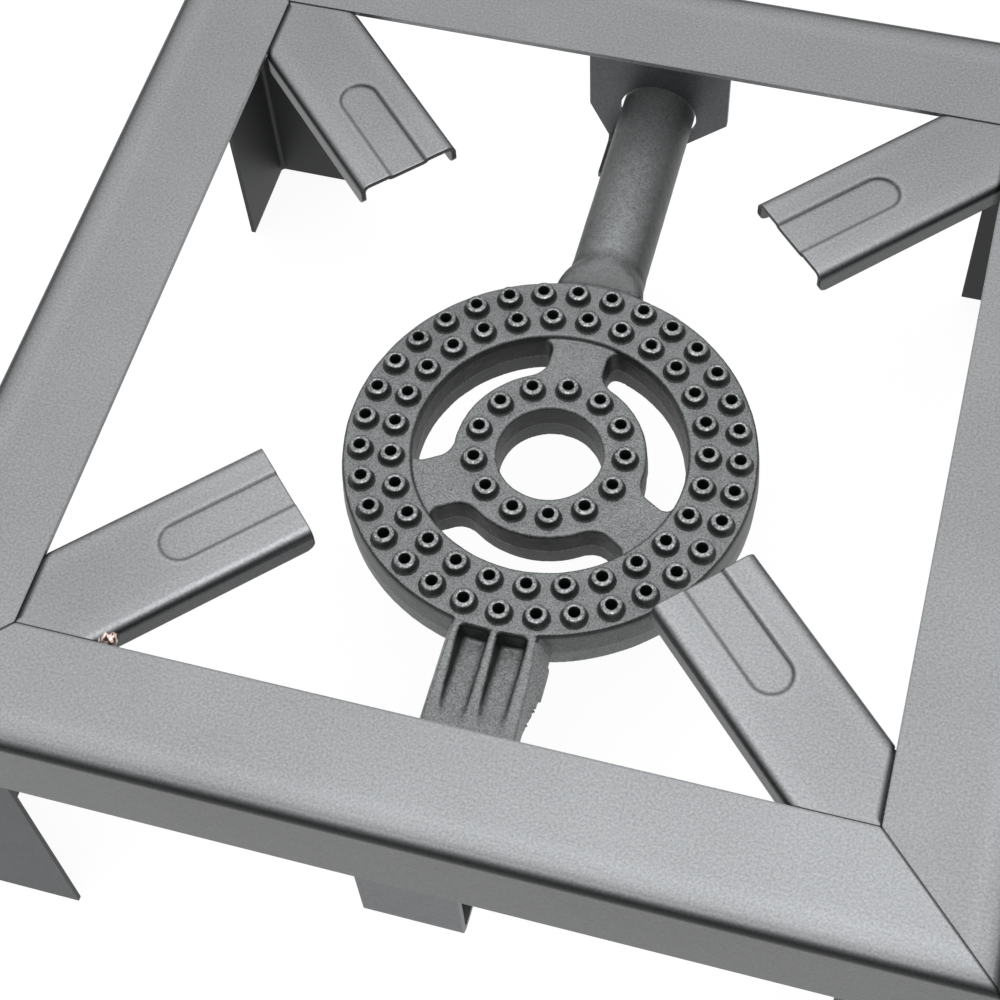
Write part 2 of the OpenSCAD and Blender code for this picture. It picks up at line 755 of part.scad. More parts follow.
// Brass tap body: an upright barrel between the outlet and the inlet arms
module tap_body() {
    low = part_z - plug_half - 1;
    color(brass) placed() difference() {
        union() {
            round_z(low - barrel_floor, bonnet_z, barrel_r, barrel_r);
            round_z(low - barrel_floor - 1.5, low - barrel_floor, barrel_r - 2, barrel_r);
            hex_y(tap_face_y, tap_face_y + 6, holder_af - 2);
            round_y(tap_face_y, tap_y, inlet_arm_r, inlet_arm_r);
            round_y(tap_y, inlet_face_y, inlet_arm_r, inlet_arm_r);
            round_y(inlet_face_y - eps, stub_y, inlet_r, inlet_r);
        }
        round_y(tap_face_y - eps, tap_face_y + tap_thread + eps, thread_r, thread_r);
        round_y(tap_face_y, stub_y + eps, way_r, way_r);
        round_z(part_z - plug_half, plug_top, plug_low_r + run_clear, plug_high_r + run_clear);
        round_z(low, part_z - plug_half + 0.01, plug_low_r + run_clear, plug_low_r + run_clear);
        round_z(plug_top - 0.01, bonnet_z + eps, plug_high_r + run_clear, plug_high_r + run_clear);
        round_z(plug_top + 2, bonnet_z + eps, bonnet_r, bonnet_r);
    }
}

// Tapered plug: its cross hole stands across the gas way when the tap is shut
module tap_plug() {
    color(brass) placed() difference() {
        round_z(part_z - plug_half, plug_top, plug_low_r, plug_high_r);
        translate([-barrel_r, tap_y, part_z]) rotate([0, 90, 0]) cylinder(h = 2 * barrel_r, r = way_r);
        translate([-spindle_r - 0.2, tap_y - tongue_w / 2 - 0.1, plug_top - slot_d])
            cube([2 * spindle_r + 0.4, tongue_w + 0.2, slot_d + eps]);
    }
}

// Coil spring on a helix, with flat closed ends left out
module plug_spring() {
    turns = 3;
    steps = 16 * turns;
    sides = 6;
    coil_r = spindle_r + 1.2;
    rise = spring_h - 2 * wire_r - 0.1;
    rings = [for (i = [0:steps]) let (a = 360 * turns * i / steps) [for (k = [0:sides - 1])
        let (b = 360 * k / sides, d = coil_r + wire_r * cos(b))
        [d * cos(a), d * sin(a), rise * i / steps + wire_r * sin(b)]]];
    points = [for (ring = rings) for (p = ring) p];
    walls = [for (i = [0:steps - 1]) for (k = [0:sides - 1]) for (half_face = [0, 1])
        let (a = i * sides + k, b = i * sides + (k + 1) % sides)
        half_face == 0 ? [a, a + sides, b] : [b, a + sides, b + sides]];
    ends = [[for (k = [0:sides - 1]) k], [for (k = [sides - 1:-1:0]) steps * sides + k]];
    color(zinc) placed() translate([0, tap_y, plug_top + wire_r + 0.05])
        polyhedron(points = points, faces = concat(walls, ends));
}

// Spindle: a tongue in the plug's slot, a collar under the bonnet and a flat for the knob
module tap_spindle() {
    flat = 0.6;
    top = knob_z + knob_h - 4;
    color(brass) placed() {
        translate([-spindle_r, tap_y - tongue_w / 2, plug_top - tongue_in])
            cube([2 * spindle_r, tongue_w, tongue_in + press + 1]);
        round_z(plug_top + press + 0.4, collar_z + eps, spindle_r, spindle_r);
        round_z(collar_z, collar_z + collar_t, collar_r, collar_r);
        difference() {
            round_z(collar_z + collar_t - eps, top, spindle_r, spindle_r);
            translate([spindle_r - flat, tap_y - spindle_r, knob_z]) cube([1, 2 * spindle_r, knob_h]);
        }
    }
}

module tap_bonnet() {
    skirt = bonnet_z - plug_top - 2.3;
    color(brass) placed() difference() {
        union() {
            translate([0, tap_y, bonnet_z]) cylinder(h = bonnet_h, r = hex_r(holder_af), $fn = 6);
            round_z(bonnet_z - skirt, bonnet_z + eps, bonnet_r - thread_gap, bonnet_r - thread_gap);
        }
        round_z(bonnet_z - skirt - eps, bonnet_z, collar_r + 0.6, collar_r + 0.6);
        round_z(bonnet_z - eps, bonnet_z + bonnet_h + eps, spindle_r + run_clear, spindle_r + run_clear);
    }
}

// Moulded knob with finger flutes, a skirt and a raised pointer
module tap_knob() {
    flute_n = 12;
    flute_r = 3;
    grip_r = knob_r - 3;
    skirt_h = 4;
    flat = 0.6;
    color(black) placed() difference() {
        union() {
            round_z(knob_z, knob_z + skirt_h, knob_r, knob_r - 0.6);
            difference() {
                round_z(knob_z + skirt_h - eps, knob_z + knob_h, grip_r, grip_r - 1.4);
                for (i = [0:flute_n - 1]) translate([0, tap_y, knob_z + skirt_h]) rotate([0, 0, i * 360 / flute_n])
                    translate([grip_r + flute_r - 1.6, 0, 0]) cylinder(h = knob_h, r = flute_r);
            }
            translate([-1, tap_y - grip_r + 2, knob_z + knob_h - eps]) cube([2, grip_r - 3, eps + 0.8]);
        }
        difference() {
            round_z(knob_z - eps, knob_z + knob_h - 4, spindle_r + thread_gap, spindle_r + thread_gap);
            translate([spindle_r - flat + thread_gap, tap_y - knob_r, knob_z]) cube([2, 2 * knob_r, knob_h]);
        }
        difference() {
            round_z(knob_z - eps, knob_z + 10, knob_r - 3.5, grip_r - 4.5);
            round_z(knob_z - eps, knob_z + 10, spindle_r + 2.5, spindle_r + 2.5);
        }
    }
}

module inlet_seal() {
    color(fibre) placed() difference() {
        round_y(stub_y, stub_y + seal_t, inlet_r - 0.2, inlet_r - 0.2);
        round_y(stub_y - eps, stub_y + seal_t + eps, way_r + 0.6, way_r + 0.6);
    }
}

module union_nut() {
    flange_y = tail_start + tail_flange + thread_gap;
    end = inlet_face_y + union_len;
    color(brass) placed() difference() {
        intersection() {
            hex_y(inlet_face_y + thread_gap, end, union_af);
            round_y(inlet_face_y, end + eps, hex_r(union_af) + 2, union_af / 2 - 0.4);
        }
        round_y(inlet_face_y - eps, flange_y, inlet_r + thread_gap, inlet_r + thread_gap);
        round_y(flange_y - eps, end + eps, barb_r + 0.1, barb_r + 0.1);
    }
}

// Barbed tail that the hose is pushed onto
module hose_tail() {
    root = inlet_face_y + union_len + 3;
    color(brass) placed() difference() {
        union() {
            round_y(tail_start, tail_start + tail_flange, inlet_r - 0.3, inlet_r - 0.3);
            round_y(tail_start + tail_flange - eps, root + 0.5, tail_r + 0.4, tail_r + 0.4);
            for (i = [0:barb_n - 1])
                round_y(root + i * barb_len, root + (i + 1) * barb_len, barb_r, tail_r);
        }
        round_y(tail_start - eps, tail_end + eps, way_r + 0.2, way_r + 0.2);
    }
}

front_rail();
right_rail();
rear_rail();
left_rail();
support_front_left();
support_front_right();
support_rear_right();
support_rear_left();
leg_front_left();
leg_front_right();
leg_rear_right();
leg_rear_left();
front_hanger();
rear_hanger();
burner_casting();
arm_bolt();
arm_washer();
arm_nut();
tube_bolt();
tube_washer();
injector_holder();
injector();
air_shutter();
wave_washer();
tap_body();
tap_plug();
plug_spring();
tap_spindle();
tap_bonnet();
tap_knob();
inlet_seal();
union_nut();
hose_tail();
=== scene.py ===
import math
from itertools import product

import bpy
import numpy as np
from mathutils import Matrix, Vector


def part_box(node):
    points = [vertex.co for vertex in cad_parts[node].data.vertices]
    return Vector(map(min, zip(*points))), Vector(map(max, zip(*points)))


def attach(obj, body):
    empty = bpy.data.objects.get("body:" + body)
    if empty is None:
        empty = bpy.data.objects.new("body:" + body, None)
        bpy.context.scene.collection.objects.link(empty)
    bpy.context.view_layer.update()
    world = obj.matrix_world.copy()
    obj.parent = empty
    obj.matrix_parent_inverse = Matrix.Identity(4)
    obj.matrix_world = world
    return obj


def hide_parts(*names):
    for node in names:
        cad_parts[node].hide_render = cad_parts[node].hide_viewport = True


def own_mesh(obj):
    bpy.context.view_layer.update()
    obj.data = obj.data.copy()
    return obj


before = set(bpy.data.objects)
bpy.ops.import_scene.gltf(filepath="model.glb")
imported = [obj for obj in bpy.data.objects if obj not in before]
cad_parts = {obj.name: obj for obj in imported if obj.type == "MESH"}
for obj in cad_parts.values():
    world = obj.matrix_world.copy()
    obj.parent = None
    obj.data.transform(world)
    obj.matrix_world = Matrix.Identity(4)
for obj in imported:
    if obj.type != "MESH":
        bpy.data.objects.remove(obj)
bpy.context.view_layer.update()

# Lengths are in millimetres round the burner's axis, with z above the floor, where no comment says otherwise
MM = 0.001

# Frame and pan supports
rail_low, rail_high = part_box("front_rail")
half = rail_high.x / MM
axis_y = rail_low.y + rail_high.x  # in metres
frame_top = rail_high.z / MM
rail_w = 46.0
sheet_t = 2.0
fold_out = 4.0  # outer radius of a fold
seam = 0.3  # gap at a welded seam
support_w = 43.6
support_h = 11.0
support_tip = 110.0
support_corner = 4.0  # radius of the flanges' corners
panel_w = 17.0
panel_len = 51.0
panel_d = 0.9
panel_slope = 1.5  # width of the panel's sloping edge
sheet_step = 0.75  # grid of the supports' skin

# Welds
bead_r = 1.5
tack_r = 2.9
bead_drop = 0.6  # from the sheet's underside to a bead's middle
bead_in = 0.1  # from the rails' inner edges to a bead's middle, towards the axis
bead_step = 0.6
bead_sides = 16
TACK_FROM, TACK_TO = (-130.0, -150.2, 166.2), (-117.0, -149.9, 166.2)

# Burner casting
casting_low, casting_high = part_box("burner_casting")
tube_end = (casting_high.y - axis_y) / MM
arm_reach = (axis_y - casting_low.y) / MM
tube_mouth_r = 16.6
tube_r = 16.5
face_up = 13.1  # outer ring's face above the parting plane
nozzle_h = 4.4
part_z = casting_high.z / MM - face_up - nozzle_h
face_drop = 2.3  # inner ring's face below the outer one's
belly = 9.8  # depth below the parting plane
face_z = part_z + face_up
inner_face_z = face_z - face_drop
belly_z = part_z - belly
outer_r, outer_hole_r = 84.4, 56.5
inner_r, inner_hole_r = 39.4, 21.8
draft = 0.8
parting_step, parting_fade = 0.4, 0.35
edge_r = 1.3
spoke_w = 23.5
spoke_fillet = 5.5
spoke_lap = 6.0  # how far a spoke runs into each ring
step_fillet = 0.8  # where the outer ring rises above the spokes
pit_r = 3.2
pit_d = 9.0
ring_waves, tube_waves = 0.09, 0.07  # size of the mould's unevenness
ring_step, tube_step = 1.04, 0.8  # grids of the surfaces
margin = 3.0

# Rows of nozzles: radius, number, share of a step that the first is turned by, height of the face below
ROWS = {"outer_nozzles": (77.0, 33, 0.5, face_z), "second_nozzles": (64.2, 27, 0.0, face_z),
        "inner_nozzles": (30.9, 13, 0.0, inner_face_z)}
nozzle_tip_r = 4.15
nozzle_foot_r = 4.8
port_r = 2.1
nozzle_sides = 36

# Ribbed arm
arm_w = 40.0
arm_top = face_z - 0.6
arm_draft = 3.2
arm_below = 6.0  # depth below the parting plane
arm_bottom = part_z - arm_below
pad_top = arm_bottom + 11.0
arm_fall = 3.5  # fall of the ribs' tops
arm_bend = 12.0  # from where the tops fall faster to the channels' end
arm_rib = 2.8
arm_channel_d = 10.5
arm_channel_end = 120.0
arm_channel_draft = 2.0
arm_base_in = 1.0  # how far its sides come in again at the bottom
arm_lap = 3.0  # how far it runs into the ring
arm_edge_r, arm_base_r, rib_edge_r, channel_r = 1.1, 1.0, 1.2, 2.4
arm_fillet = 1.2
arm_bolt_y = 16.0 - arm_reach
bolt_hole_r = 4.5
slot_play = 8.0

# Flash on the arm's right side: distance from the axis and width there
FLASH = ((84, 2.2), (94, 3.6), (101, 4.0), (106, 2.6), (112, 1.2), (119, 0.0))
ragged_from, ragged_to, ragged_fade = 97.0, 120.0, 6.0
flash_below = 1.5

# Mixing tube
neck_y = 100.0
neck_half = 19.0
neck_run = 5.0  # how far the neck runs out along the tube
neck_over = 0.15  # how far it stands out from the tube there
neck_drop = 0.8  # its top's depth below the ring's face
neck_lap = 8.0  # how far it runs into the ring
neck_taper, neck_end_r = 0.06, 0.5  # its slope onto the tube and its end's rounding
neck_fillet = 1.5
neck_power = 7.0  # squareness of its section at the ring; 2 is round
tube_lap = 1.0
bore_start = 8.0
bore_r, throat_r = 13.2, 10.5
mouth_edge_r, hub_edge_r = 0.8, 0.6
end_wall = 4.0
hub_r = 8.2
hub_len = 11.0
thread_r = 6.0
window_n, window_a = 3, 54.0
window_in_r, window_out_r = 8.8, 12.8
boss_r = 8.0
boss_fillet = 2.5
boss_bottom = part_z - tube_mouth_r - 6.0
boss_hole_r, boss_hole_d = 4.0, 8.0
hanger_t, hanger_fold = 3.0, 3.0
tube_bolt_y = half - sheet_t - hanger_t - hanger_fold - boss_r - seam
cut_past = 1.0  # how far a cut runs past the wall that it opens

# Plug spring
spring_wire_r = 0.4
spring_turns = 3
spring_steps, spring_sides = 24, 10  # points in a turn and round the wire


# Mesh helpers

def placed(points):
    """Points in millimetres round the burner's axis, as metres in the frame."""
    return np.asarray(points, float) * MM + np.array([0.0, axis_y, 0.0])


def piece_from(name, points, faces, smooth=True, **values):
    """A mesh object from points and faces. Each further value becomes a float attribute of the points."""
    mesh = bpy.data.meshes.new(name)
    mesh.from_pydata(placed(points).tolist(), [], [list(map(int, face)) for face in faces])
    mesh.polygons.foreach_set("use_smooth", np.full(len(mesh.polygons), smooth))
    for key, value in values.items():
        layer = mesh.attributes.new(key, "FLOAT", "POINT")
        layer.data.foreach_set("value", np.asarray(value, np.float32).ravel())
    mesh.update()
    thing = bpy.data.objects.new(name, mesh)
    bpy.context.scene.collection.objects.link(thing)
    return thing


def grid_faces(rows, columns, wrap=False):
    """Four-sided faces over a grid of points, row by row; wrap joins the last column to the first."""
    i, j = np.meshgrid(np.arange(rows - 1), np.arange(columns if wrap else columns - 1), indexing="ij")
    k = (j + 1) % columns
    return np.stack([i * columns + j, i * columns + k, (i + 1) * columns + k, (i + 1) * columns + j],
                    axis=-1).reshape(-1, 4)


def tube_piece(name, points):
    """A closed tube's mesh object from rings of points in rows along it, with flat ends."""
    rows, sides = points.shape[:2]
    faces = list(grid_faces(rows, sides, wrap=True)[:, ::-1])
    faces += [np.arange(sides), (rows - 1) * sides + np.arange(sides)[::-1]]
    return piece_from(name, points.reshape(-1, 3), faces)


def round_and(a, b, r):
    """Distance to what two bodies share, with the edge between them rounded to radius r."""
    return np.minimum(np.maximum(a, b), -r) + np.hypot(np.maximum(a + r, 0), np.maximum(b + r, 0))


def round_or(a, b, r):
    """Distance to two bodies joined, with a fillet of radius r between them."""
    return np.maximum(np.minimum(a, b), r) - np.hypot(np.maximum(r - a, 0), np.maximum(r - b, 0))


def slope_of(field, points, reach=0.05):
    """Gradient of the field at the points, from differences over twice the reach."""
    out = np.empty_like(points)
    for axis in range(3):
        shift = np.zeros(3)
        shift[axis] = reach
        out[:, axis] = (field(*(points + shift).T) - field(*(points - shift).T)) / (2 * reach)
    return out


def net_surface(field, low, high, step):
    """Points and faces where field(x, y, z) is zero. Each grid cube that the surface crosses gets one
    point, drawn onto the surface along the field's slope, and each grid edge that it crosses gets the
    face between the four cubes round that edge."""
    sides = [np.arange(a, b + step, step) for a, b in zip(low, high)]
    inside = field(*np.meshgrid(*sides, indexing="ij")) < 0
    n = np.array(inside.shape)
    filled = np.zeros(tuple(n - 1), int)
    for i, j, k in product((0, 1), repeat=3):
        filled += inside[i:n[0] - 1 + i, j:n[1] - 1 + j, k:n[2] - 1 + k]
    cubes = np.argwhere((filled > 0) & (filled < 8))
    index = np.full(tuple(n - 1), -1)
    index[tuple(cubes.T)] = np.arange(len(cubes))
    middle = np.array(low) + (cubes + 0.5) * step
    points = middle.copy()
    for _ in range(5):
        slope = slope_of(field, points)
        size = np.maximum((slope ** 2).sum(1), 0.05)
        points -= slope * (field(*points.T) / size)[:, None]
        points = np.clip(points, middle - 0.6 * step, middle + 0.6 * step)
    faces = []
    for axis in range(3):
        across, up = (axis + 1) % 3, (axis + 2) % 3
        ends = [slice(1, -1)] * 3
        ends[axis] = slice(0, -1)
        starts = inside[tuple(ends)]
        ends[axis] = slice(1, None)
        change = np.argwhere(starts != inside[tuple(ends)])
        outward = starts[tuple(change.T)]
        corner = change.copy()
        corner[:, across] += 1
        corner[:, up] += 1
        quad = []
        for a, b in ((0, 0), (-1, 0), (-1, -1), (0, -1)):
            cube = corner.copy()
            cube[:, across] += a
            cube[:, up] += b
            quad.append(index[tuple(cube.T)])
        quad = np.stack(quad, axis=1)
        faces.append(np.where(outward[:, None], quad, quad[:, ::-1]))
    return points, np.concatenate(faces)


def smooth_piece(name, field, low, high, step):
    """A mesh object of the field's zero surface, shaded with the field's own slope."""
    points, faces = net_surface(field, low, high, step)
    thing = piece_from(name, points, faces)
    slope = slope_of(field, points, 0.2)
    slope /= np.maximum(np.linalg.norm(slope, axis=1), 1e-6)[:, None]
    thing.data.normals_split_custom_set_from_vertices(slope.tolist())
    return thing


def ease(t):
    """A share from 0 to 1, eased at both ends."""
    return t * t * (3 - 2 * t)


def unevenness(x, y, z):
    """Slow waves of a sand mould's surface, about 1 high: sines whose phases are bent by other sines."""
    a = np.sin(0.37 * x + 1.7 * np.sin(0.21 * y + 0.5) + 0.3 * z)
    b = np.sin(0.41 * y + 1.9 * np.sin(0.17 * x + 1.1) - 0.4 * z)
    c = np.sin(0.83 * x - 0.71 * y + 1.3 * np.sin(0.9 * z + 0.3 * x))
    return (a + b + 0.8 * c) / 2.8


# Burner casting

def wall_out(z, top):
    """How far a ring's or spoke's wall stands out from its size at the face: draft down to the parting
    plane, then a step back in."""
    down = np.clip((top - z) / (top - part_z), 0, 1)
    below = np.clip((part_z - z) / parting_fade, 0, 1)
    return draft * down - parting_step * below


def ring_plan(rho, r_in, r_out, out):
    """Distance in plan to the band between two radii, each wall standing out by out."""
    return np.maximum(rho - r_out - out, r_in - out - rho)


def spokes_plan(x, y, out):
    """Distance in plan to the nearest of three spokes, the first of which lies along +Y."""
    best = None
    for turn in np.radians((90, 210, 330)):
        along = x * math.cos(turn) + y * math.sin(turn)
        across = np.abs(y * math.cos(turn) - x * math.sin(turn))
        middle = (inner_r + outer_hole_r) / 2
        reach = middle - inner_r + spoke_lap
        d = np.maximum(across - spoke_w / 2 - out, np.abs(along - middle) - reach)
        best = d if best is None else np.minimum(best, d)
    return best


def from_nozzle(x, y, row_r, count, phase):
    """Distance in plan to the nearest nozzle's axis in a row."""
    step = 2 * math.pi / count
    turn = np.arctan2(y, x) - math.pi / 2 - phase * step
    turn -= np.round(turn / step) * step
    rho = np.hypot(x, y)
    return np.hypot(rho * np.cos(turn) - row_r, rho * np.sin(turn))


def flash_out(y, z, down):
    """How far the flash on the arm's right side stands out: more further down the wall, down being the share
    of its height, with a ragged rim of sines, and ending just below the parting plane."""
    ragged = 0.35 * np.sin(2.3 * y + 1.9 * np.sin(0.7 * y)) + 0.25 * np.sin(4.1 * y)
    ragged = ragged * np.clip((-y - ragged_from) / ragged_fade, 0, 1)
    ragged = ragged * np.clip((y + ragged_to) / ragged_fade, 0, 1)
    reach = np.interp(-y, *zip(*FLASH))
    return (reach * down + ragged * down ** 6) * np.clip(1 - (part_z - z) / flash_below, 0, 1)


def arm_field(x, y, z):
    """Distance to the ribbed arm: a drafted bar with a falling top, less two channels whose floors rise
    towards the pad, and less the bolt's slot. Its right side leans out to a ragged flash."""
    top_half = arm_w / 2 - arm_draft
    side = np.abs(x)
    down = np.clip((arm_top - z) / (arm_top - part_z), 0, 1)
    flash = np.where(x > 0, flash_out(y, z, down), 0)
    half_w = top_half + arm_draft * down - arm_base_in * np.clip((part_z - z) / arm_below, 0, 1) + flash
    top = np.interp(-y, [outer_r, arm_channel_end - arm_bend, arm_channel_end + 4],
                    [arm_top, arm_top - arm_fall, pad_top])
    end = np.hypot(x, np.minimum(y + arm_reach - arm_w / 2, 0)) - arm_w / 2 - flash
    bar = round_and(np.maximum(side - half_w, end), z - top, arm_edge_r)
    bar = round_and(bar, arm_bottom - z, arm_base_r)
    bar = np.maximum(bar, y + outer_r - arm_lap)
    channel_w = (2 * top_half - 3 * arm_rib) / 2
    floor_z = arm_top - arm_channel_d
    rise = (pad_top - floor_z) / (arm_channel_end - outer_r)
    floor = floor_z + rise * (-y - outer_r)
    wall = channel_w / 2 + arm_channel_draft * (z - arm_top) / arm_channel_d
    off = np.abs(side - (channel_w + arm_rib) / 2)
    channel = round_and(off - wall, floor - z, channel_r)
    channel = round_and(channel, y + outer_r + 0.2, channel_r + 0.1)
    slot = np.hypot(x, np.maximum(np.abs(y - arm_bolt_y) - slot_play / 2, 0)) - bolt_hole_r
    return np.maximum(round_and(bar, -channel, rib_edge_r), -slot)


def neck_field(x, y, z):
    """Distance to the neck: a squarish section at the ring that becomes the tube's round one and runs out
    into it."""
    t = ease(np.clip((y - outer_r + 2) / (neck_y - outer_r), 0, 1))
    wide = neck_half + (tube_r + neck_over - neck_half) * t
    top = face_z - neck_drop
    ring_h = (top - belly_z) / 2
    high = ring_h + (tube_r + neck_over - ring_h) * t
    mid = (top + belly_z) / 2 * (1 - t) + part_z * t
    power = neck_power + (2 - neck_power) * t
    body = (np.abs(x / wide) ** power + np.abs((z - mid) / high) ** power) ** (1 / power)
    shell = (body - 1) * np.minimum(wide, high) + neck_taper * np.maximum(y - neck_y, 0)
    return round_and(np.maximum(shell, outer_r - neck_lap - y), y - neck_y - neck_run, neck_end_r)


def rings_field(x, y, z):
    """Distance to the two rings, their spokes, the neck and the arm, with the pits under the nozzles."""
    rho = np.hypot(x, y)
    low_out = wall_out(z, inner_face_z)
    hub = ring_plan(rho, inner_hole_r, inner_r, low_out)
    hub = round_or(hub, spokes_plan(x, y, low_out), spoke_fillet)
    rim = ring_plan(rho, outer_hole_r, outer_r, wall_out(z, face_z))
    low_part = round_and(round_or(hub, rim, spoke_fillet), z - inner_face_z, edge_r)
    high_part = round_and(rim, z - face_z, edge_r)
    neck = neck_field(x, y, z)
    body = round_or(round_or(low_part, high_part, step_fillet), neck, neck_fillet)
    body = np.minimum(round_and(body, belly_z - z, edge_r), neck)
    body = round_or(body, arm_field(x, y, z), arm_fillet)
    for row_r, count, phase, face in ROWS.values():
        pit = np.maximum(from_nozzle(x, y, row_r, count, phase) - pit_r, face - pit_d - z)
        body = np.maximum(body, -pit)
    return body + ring_waves * unevenness(x, y, z)


def tube_field(x, y, z):
    """Distance to the mixing tube: a slightly conical pipe with its boss, end wall, windows and hub."""
    up = z - part_z
    rho = np.hypot(x, up)
    share = np.clip((y - neck_y) / (tube_end - neck_y), 0, 1)
    outside = rho - (tube_r + (tube_mouth_r - tube_r) * share)
    from_bolt = np.hypot(x, y - tube_bolt_y)
    boss = np.maximum(from_bolt - boss_r, np.maximum(boss_bottom - z, z - part_z))
    body = round_or(outside, boss, boss_fillet)
    body = round_and(body, y - tube_end, mouth_edge_r)
    body = np.maximum(body, neck_y - tube_lap - y)
    middle = (neck_y + tube_end) / 2
    bore = throat_r + (bore_r - throat_r) * np.clip((y - middle) / (tube_end - middle), 0, 1)
    way = np.maximum(rho - bore, np.maximum(neck_y + bore_start - y, y - tube_end + end_wall))
    hub = round_and(rho - hub_r, tube_end - hub_len - y, hub_edge_r)
    body = np.maximum(body, -np.maximum(way, -hub))
    step = 2 * math.pi / window_n
    turn = np.arctan2(x, up)
    turn = np.abs(turn - np.round(turn / step) * step)
    window = np.maximum(np.abs(rho - (window_in_r + window_out_r) / 2) - (window_out_r - window_in_r) / 2,
                        (turn - math.radians(window_a / 2)) * rho)
    body = np.maximum(body, -np.maximum(window, tube_end - end_wall - cut_past - y))
    body = np.maximum(body, -np.maximum(rho - thread_r, tube_end - hub_len - cut_past - y))
    body = np.maximum(body, -np.maximum(from_bolt - boss_hole_r, z - boss_bottom - boss_hole_d))
    return body + tube_waves * unevenness(x, y, z)


def build_casting():
    """The casting's two meshes, both of which stand for its CAD node."""
    low = (-outer_r - margin - 1, -arm_reach - margin, part_z - tube_r - margin)
    high = (outer_r + margin + 1, neck_y + neck_run + margin, part_z + tube_r + margin)
    rings = smooth_piece("burner_rings", rings_field, low, high, ring_step)
    low = (-tube_mouth_r - margin, neck_y - tube_lap - margin, boss_bottom - margin)
    high = (tube_mouth_r + margin, tube_end + margin, part_z + tube_mouth_r + margin)
    tube = smooth_piece("mixing_tube", tube_field, low, high, tube_step)
    return rings, tube


def build_nozzles(name, row_r, count, phase, face, seed):
    """One row of nozzles. Each is a closed profile turned round its axis: a sleeve down into the pit, the
    flared foot, the tapered side, the domed tip and the drilled port down to a closed end."""
    rng = np.random.default_rng(seed)
    # Each point: radius, height above the face, share cut bright on the lathe, which also paints highlights
    # at the tip's edges, and share of painted shade
    profile = np.array([
        (2.7, -9.0, 0, 1), (2.7, -1.2, 0, 1),
        (6.4, -0.9, 0, 0.7), (5.8, -0.08, 0, 0.7), (5.25, 0.3, 0, 0.75), (4.95, 0.9, 0, 0.75),
        (nozzle_foot_r - 0.1, 1.8, 0, 0.75), (nozzle_tip_r + 0.33, nozzle_h - 1.1, 0, 0.75),
        (nozzle_tip_r + 0.25, nozzle_h - 0.72, 0.1, 0.6), (nozzle_tip_r + 0.05, nozzle_h - 0.42, 1, 0),
        (nozzle_tip_r - 0.35, nozzle_h - 0.2, 0.75, 0), (3.15, nozzle_h - 0.04, 0.45, 0),
        (port_r + 0.5, nozzle_h, 1, 0.1), (port_r + 0.3, nozzle_h - 0.2, 0.4, 0.5),
        (port_r + 0.15, nozzle_h - 0.7, 0, 0.9), (port_r, nozzle_h - 1.3, 0, 1), (port_r, 0.5, 0, 1),
        (port_r, -3.5, 0, 1), (port_r, -8.0, 0, 1)])
    side, top, rim = slice(7, 11), slice(9, 13), slice(12, 15)
    turn = np.arange(nozzle_sides) * 2 * math.pi / nozzle_sides
    shape = (count, len(profile), nozzle_sides)
    r, z, faced_and_highlight, hollow = (np.broadcast_to(column[None, :, None], shape).copy() for column in profile.T)
    waves = np.zeros((count, nozzle_sides))
    for order in (2, 3, 5, 8, 13):
        size = rng.uniform(0, 1, (count, 1)) / order ** 0.6
        waves += size * np.sin(order * turn + rng.uniform(0, 6.28, (count, 1)))
    rough = rng.uniform(0.05, 0.13, (count, 1)) * np.where(rng.uniform(0, 1, (count, 1)) > 0.85, 1.9, 1)
    r[:, side] += (rough * waves)[:, None]
    z[:, top] += (0.6 * rough * np.roll(waves, 5, axis=1))[:, None]
    r[:, rim] += (0.5 * rough * np.roll(waves, 11, axis=1))[:, None]
    at = math.pi / 2 + (np.arange(count) + phase) * 2 * math.pi / count
    points = np.stack([r * np.cos(turn) + (row_r * np.cos(at))[:, None, None],
                       r * np.sin(turn) + (row_r * np.sin(at))[:, None, None], z + face], axis=-1)
    one = grid_faces(len(profile), nozzle_sides, wrap=True)
    firsts = np.arange(count) * len(profile) * nozzle_sides
    faces = list((one[None] + firsts[:, None, None]).reshape(-1, 4))
    faces += [first + np.arange(nozzle_sides)[::-1] for first in firsts]
    faces += [first + (len(profile) - 1) * nozzle_sides + np.arange(nozzle_sides) for first in firsts]
    return piece_from(name, points.reshape(-1, 3), faces, machined=faced_and_highlight, hollow=hollow)


# Pan supports

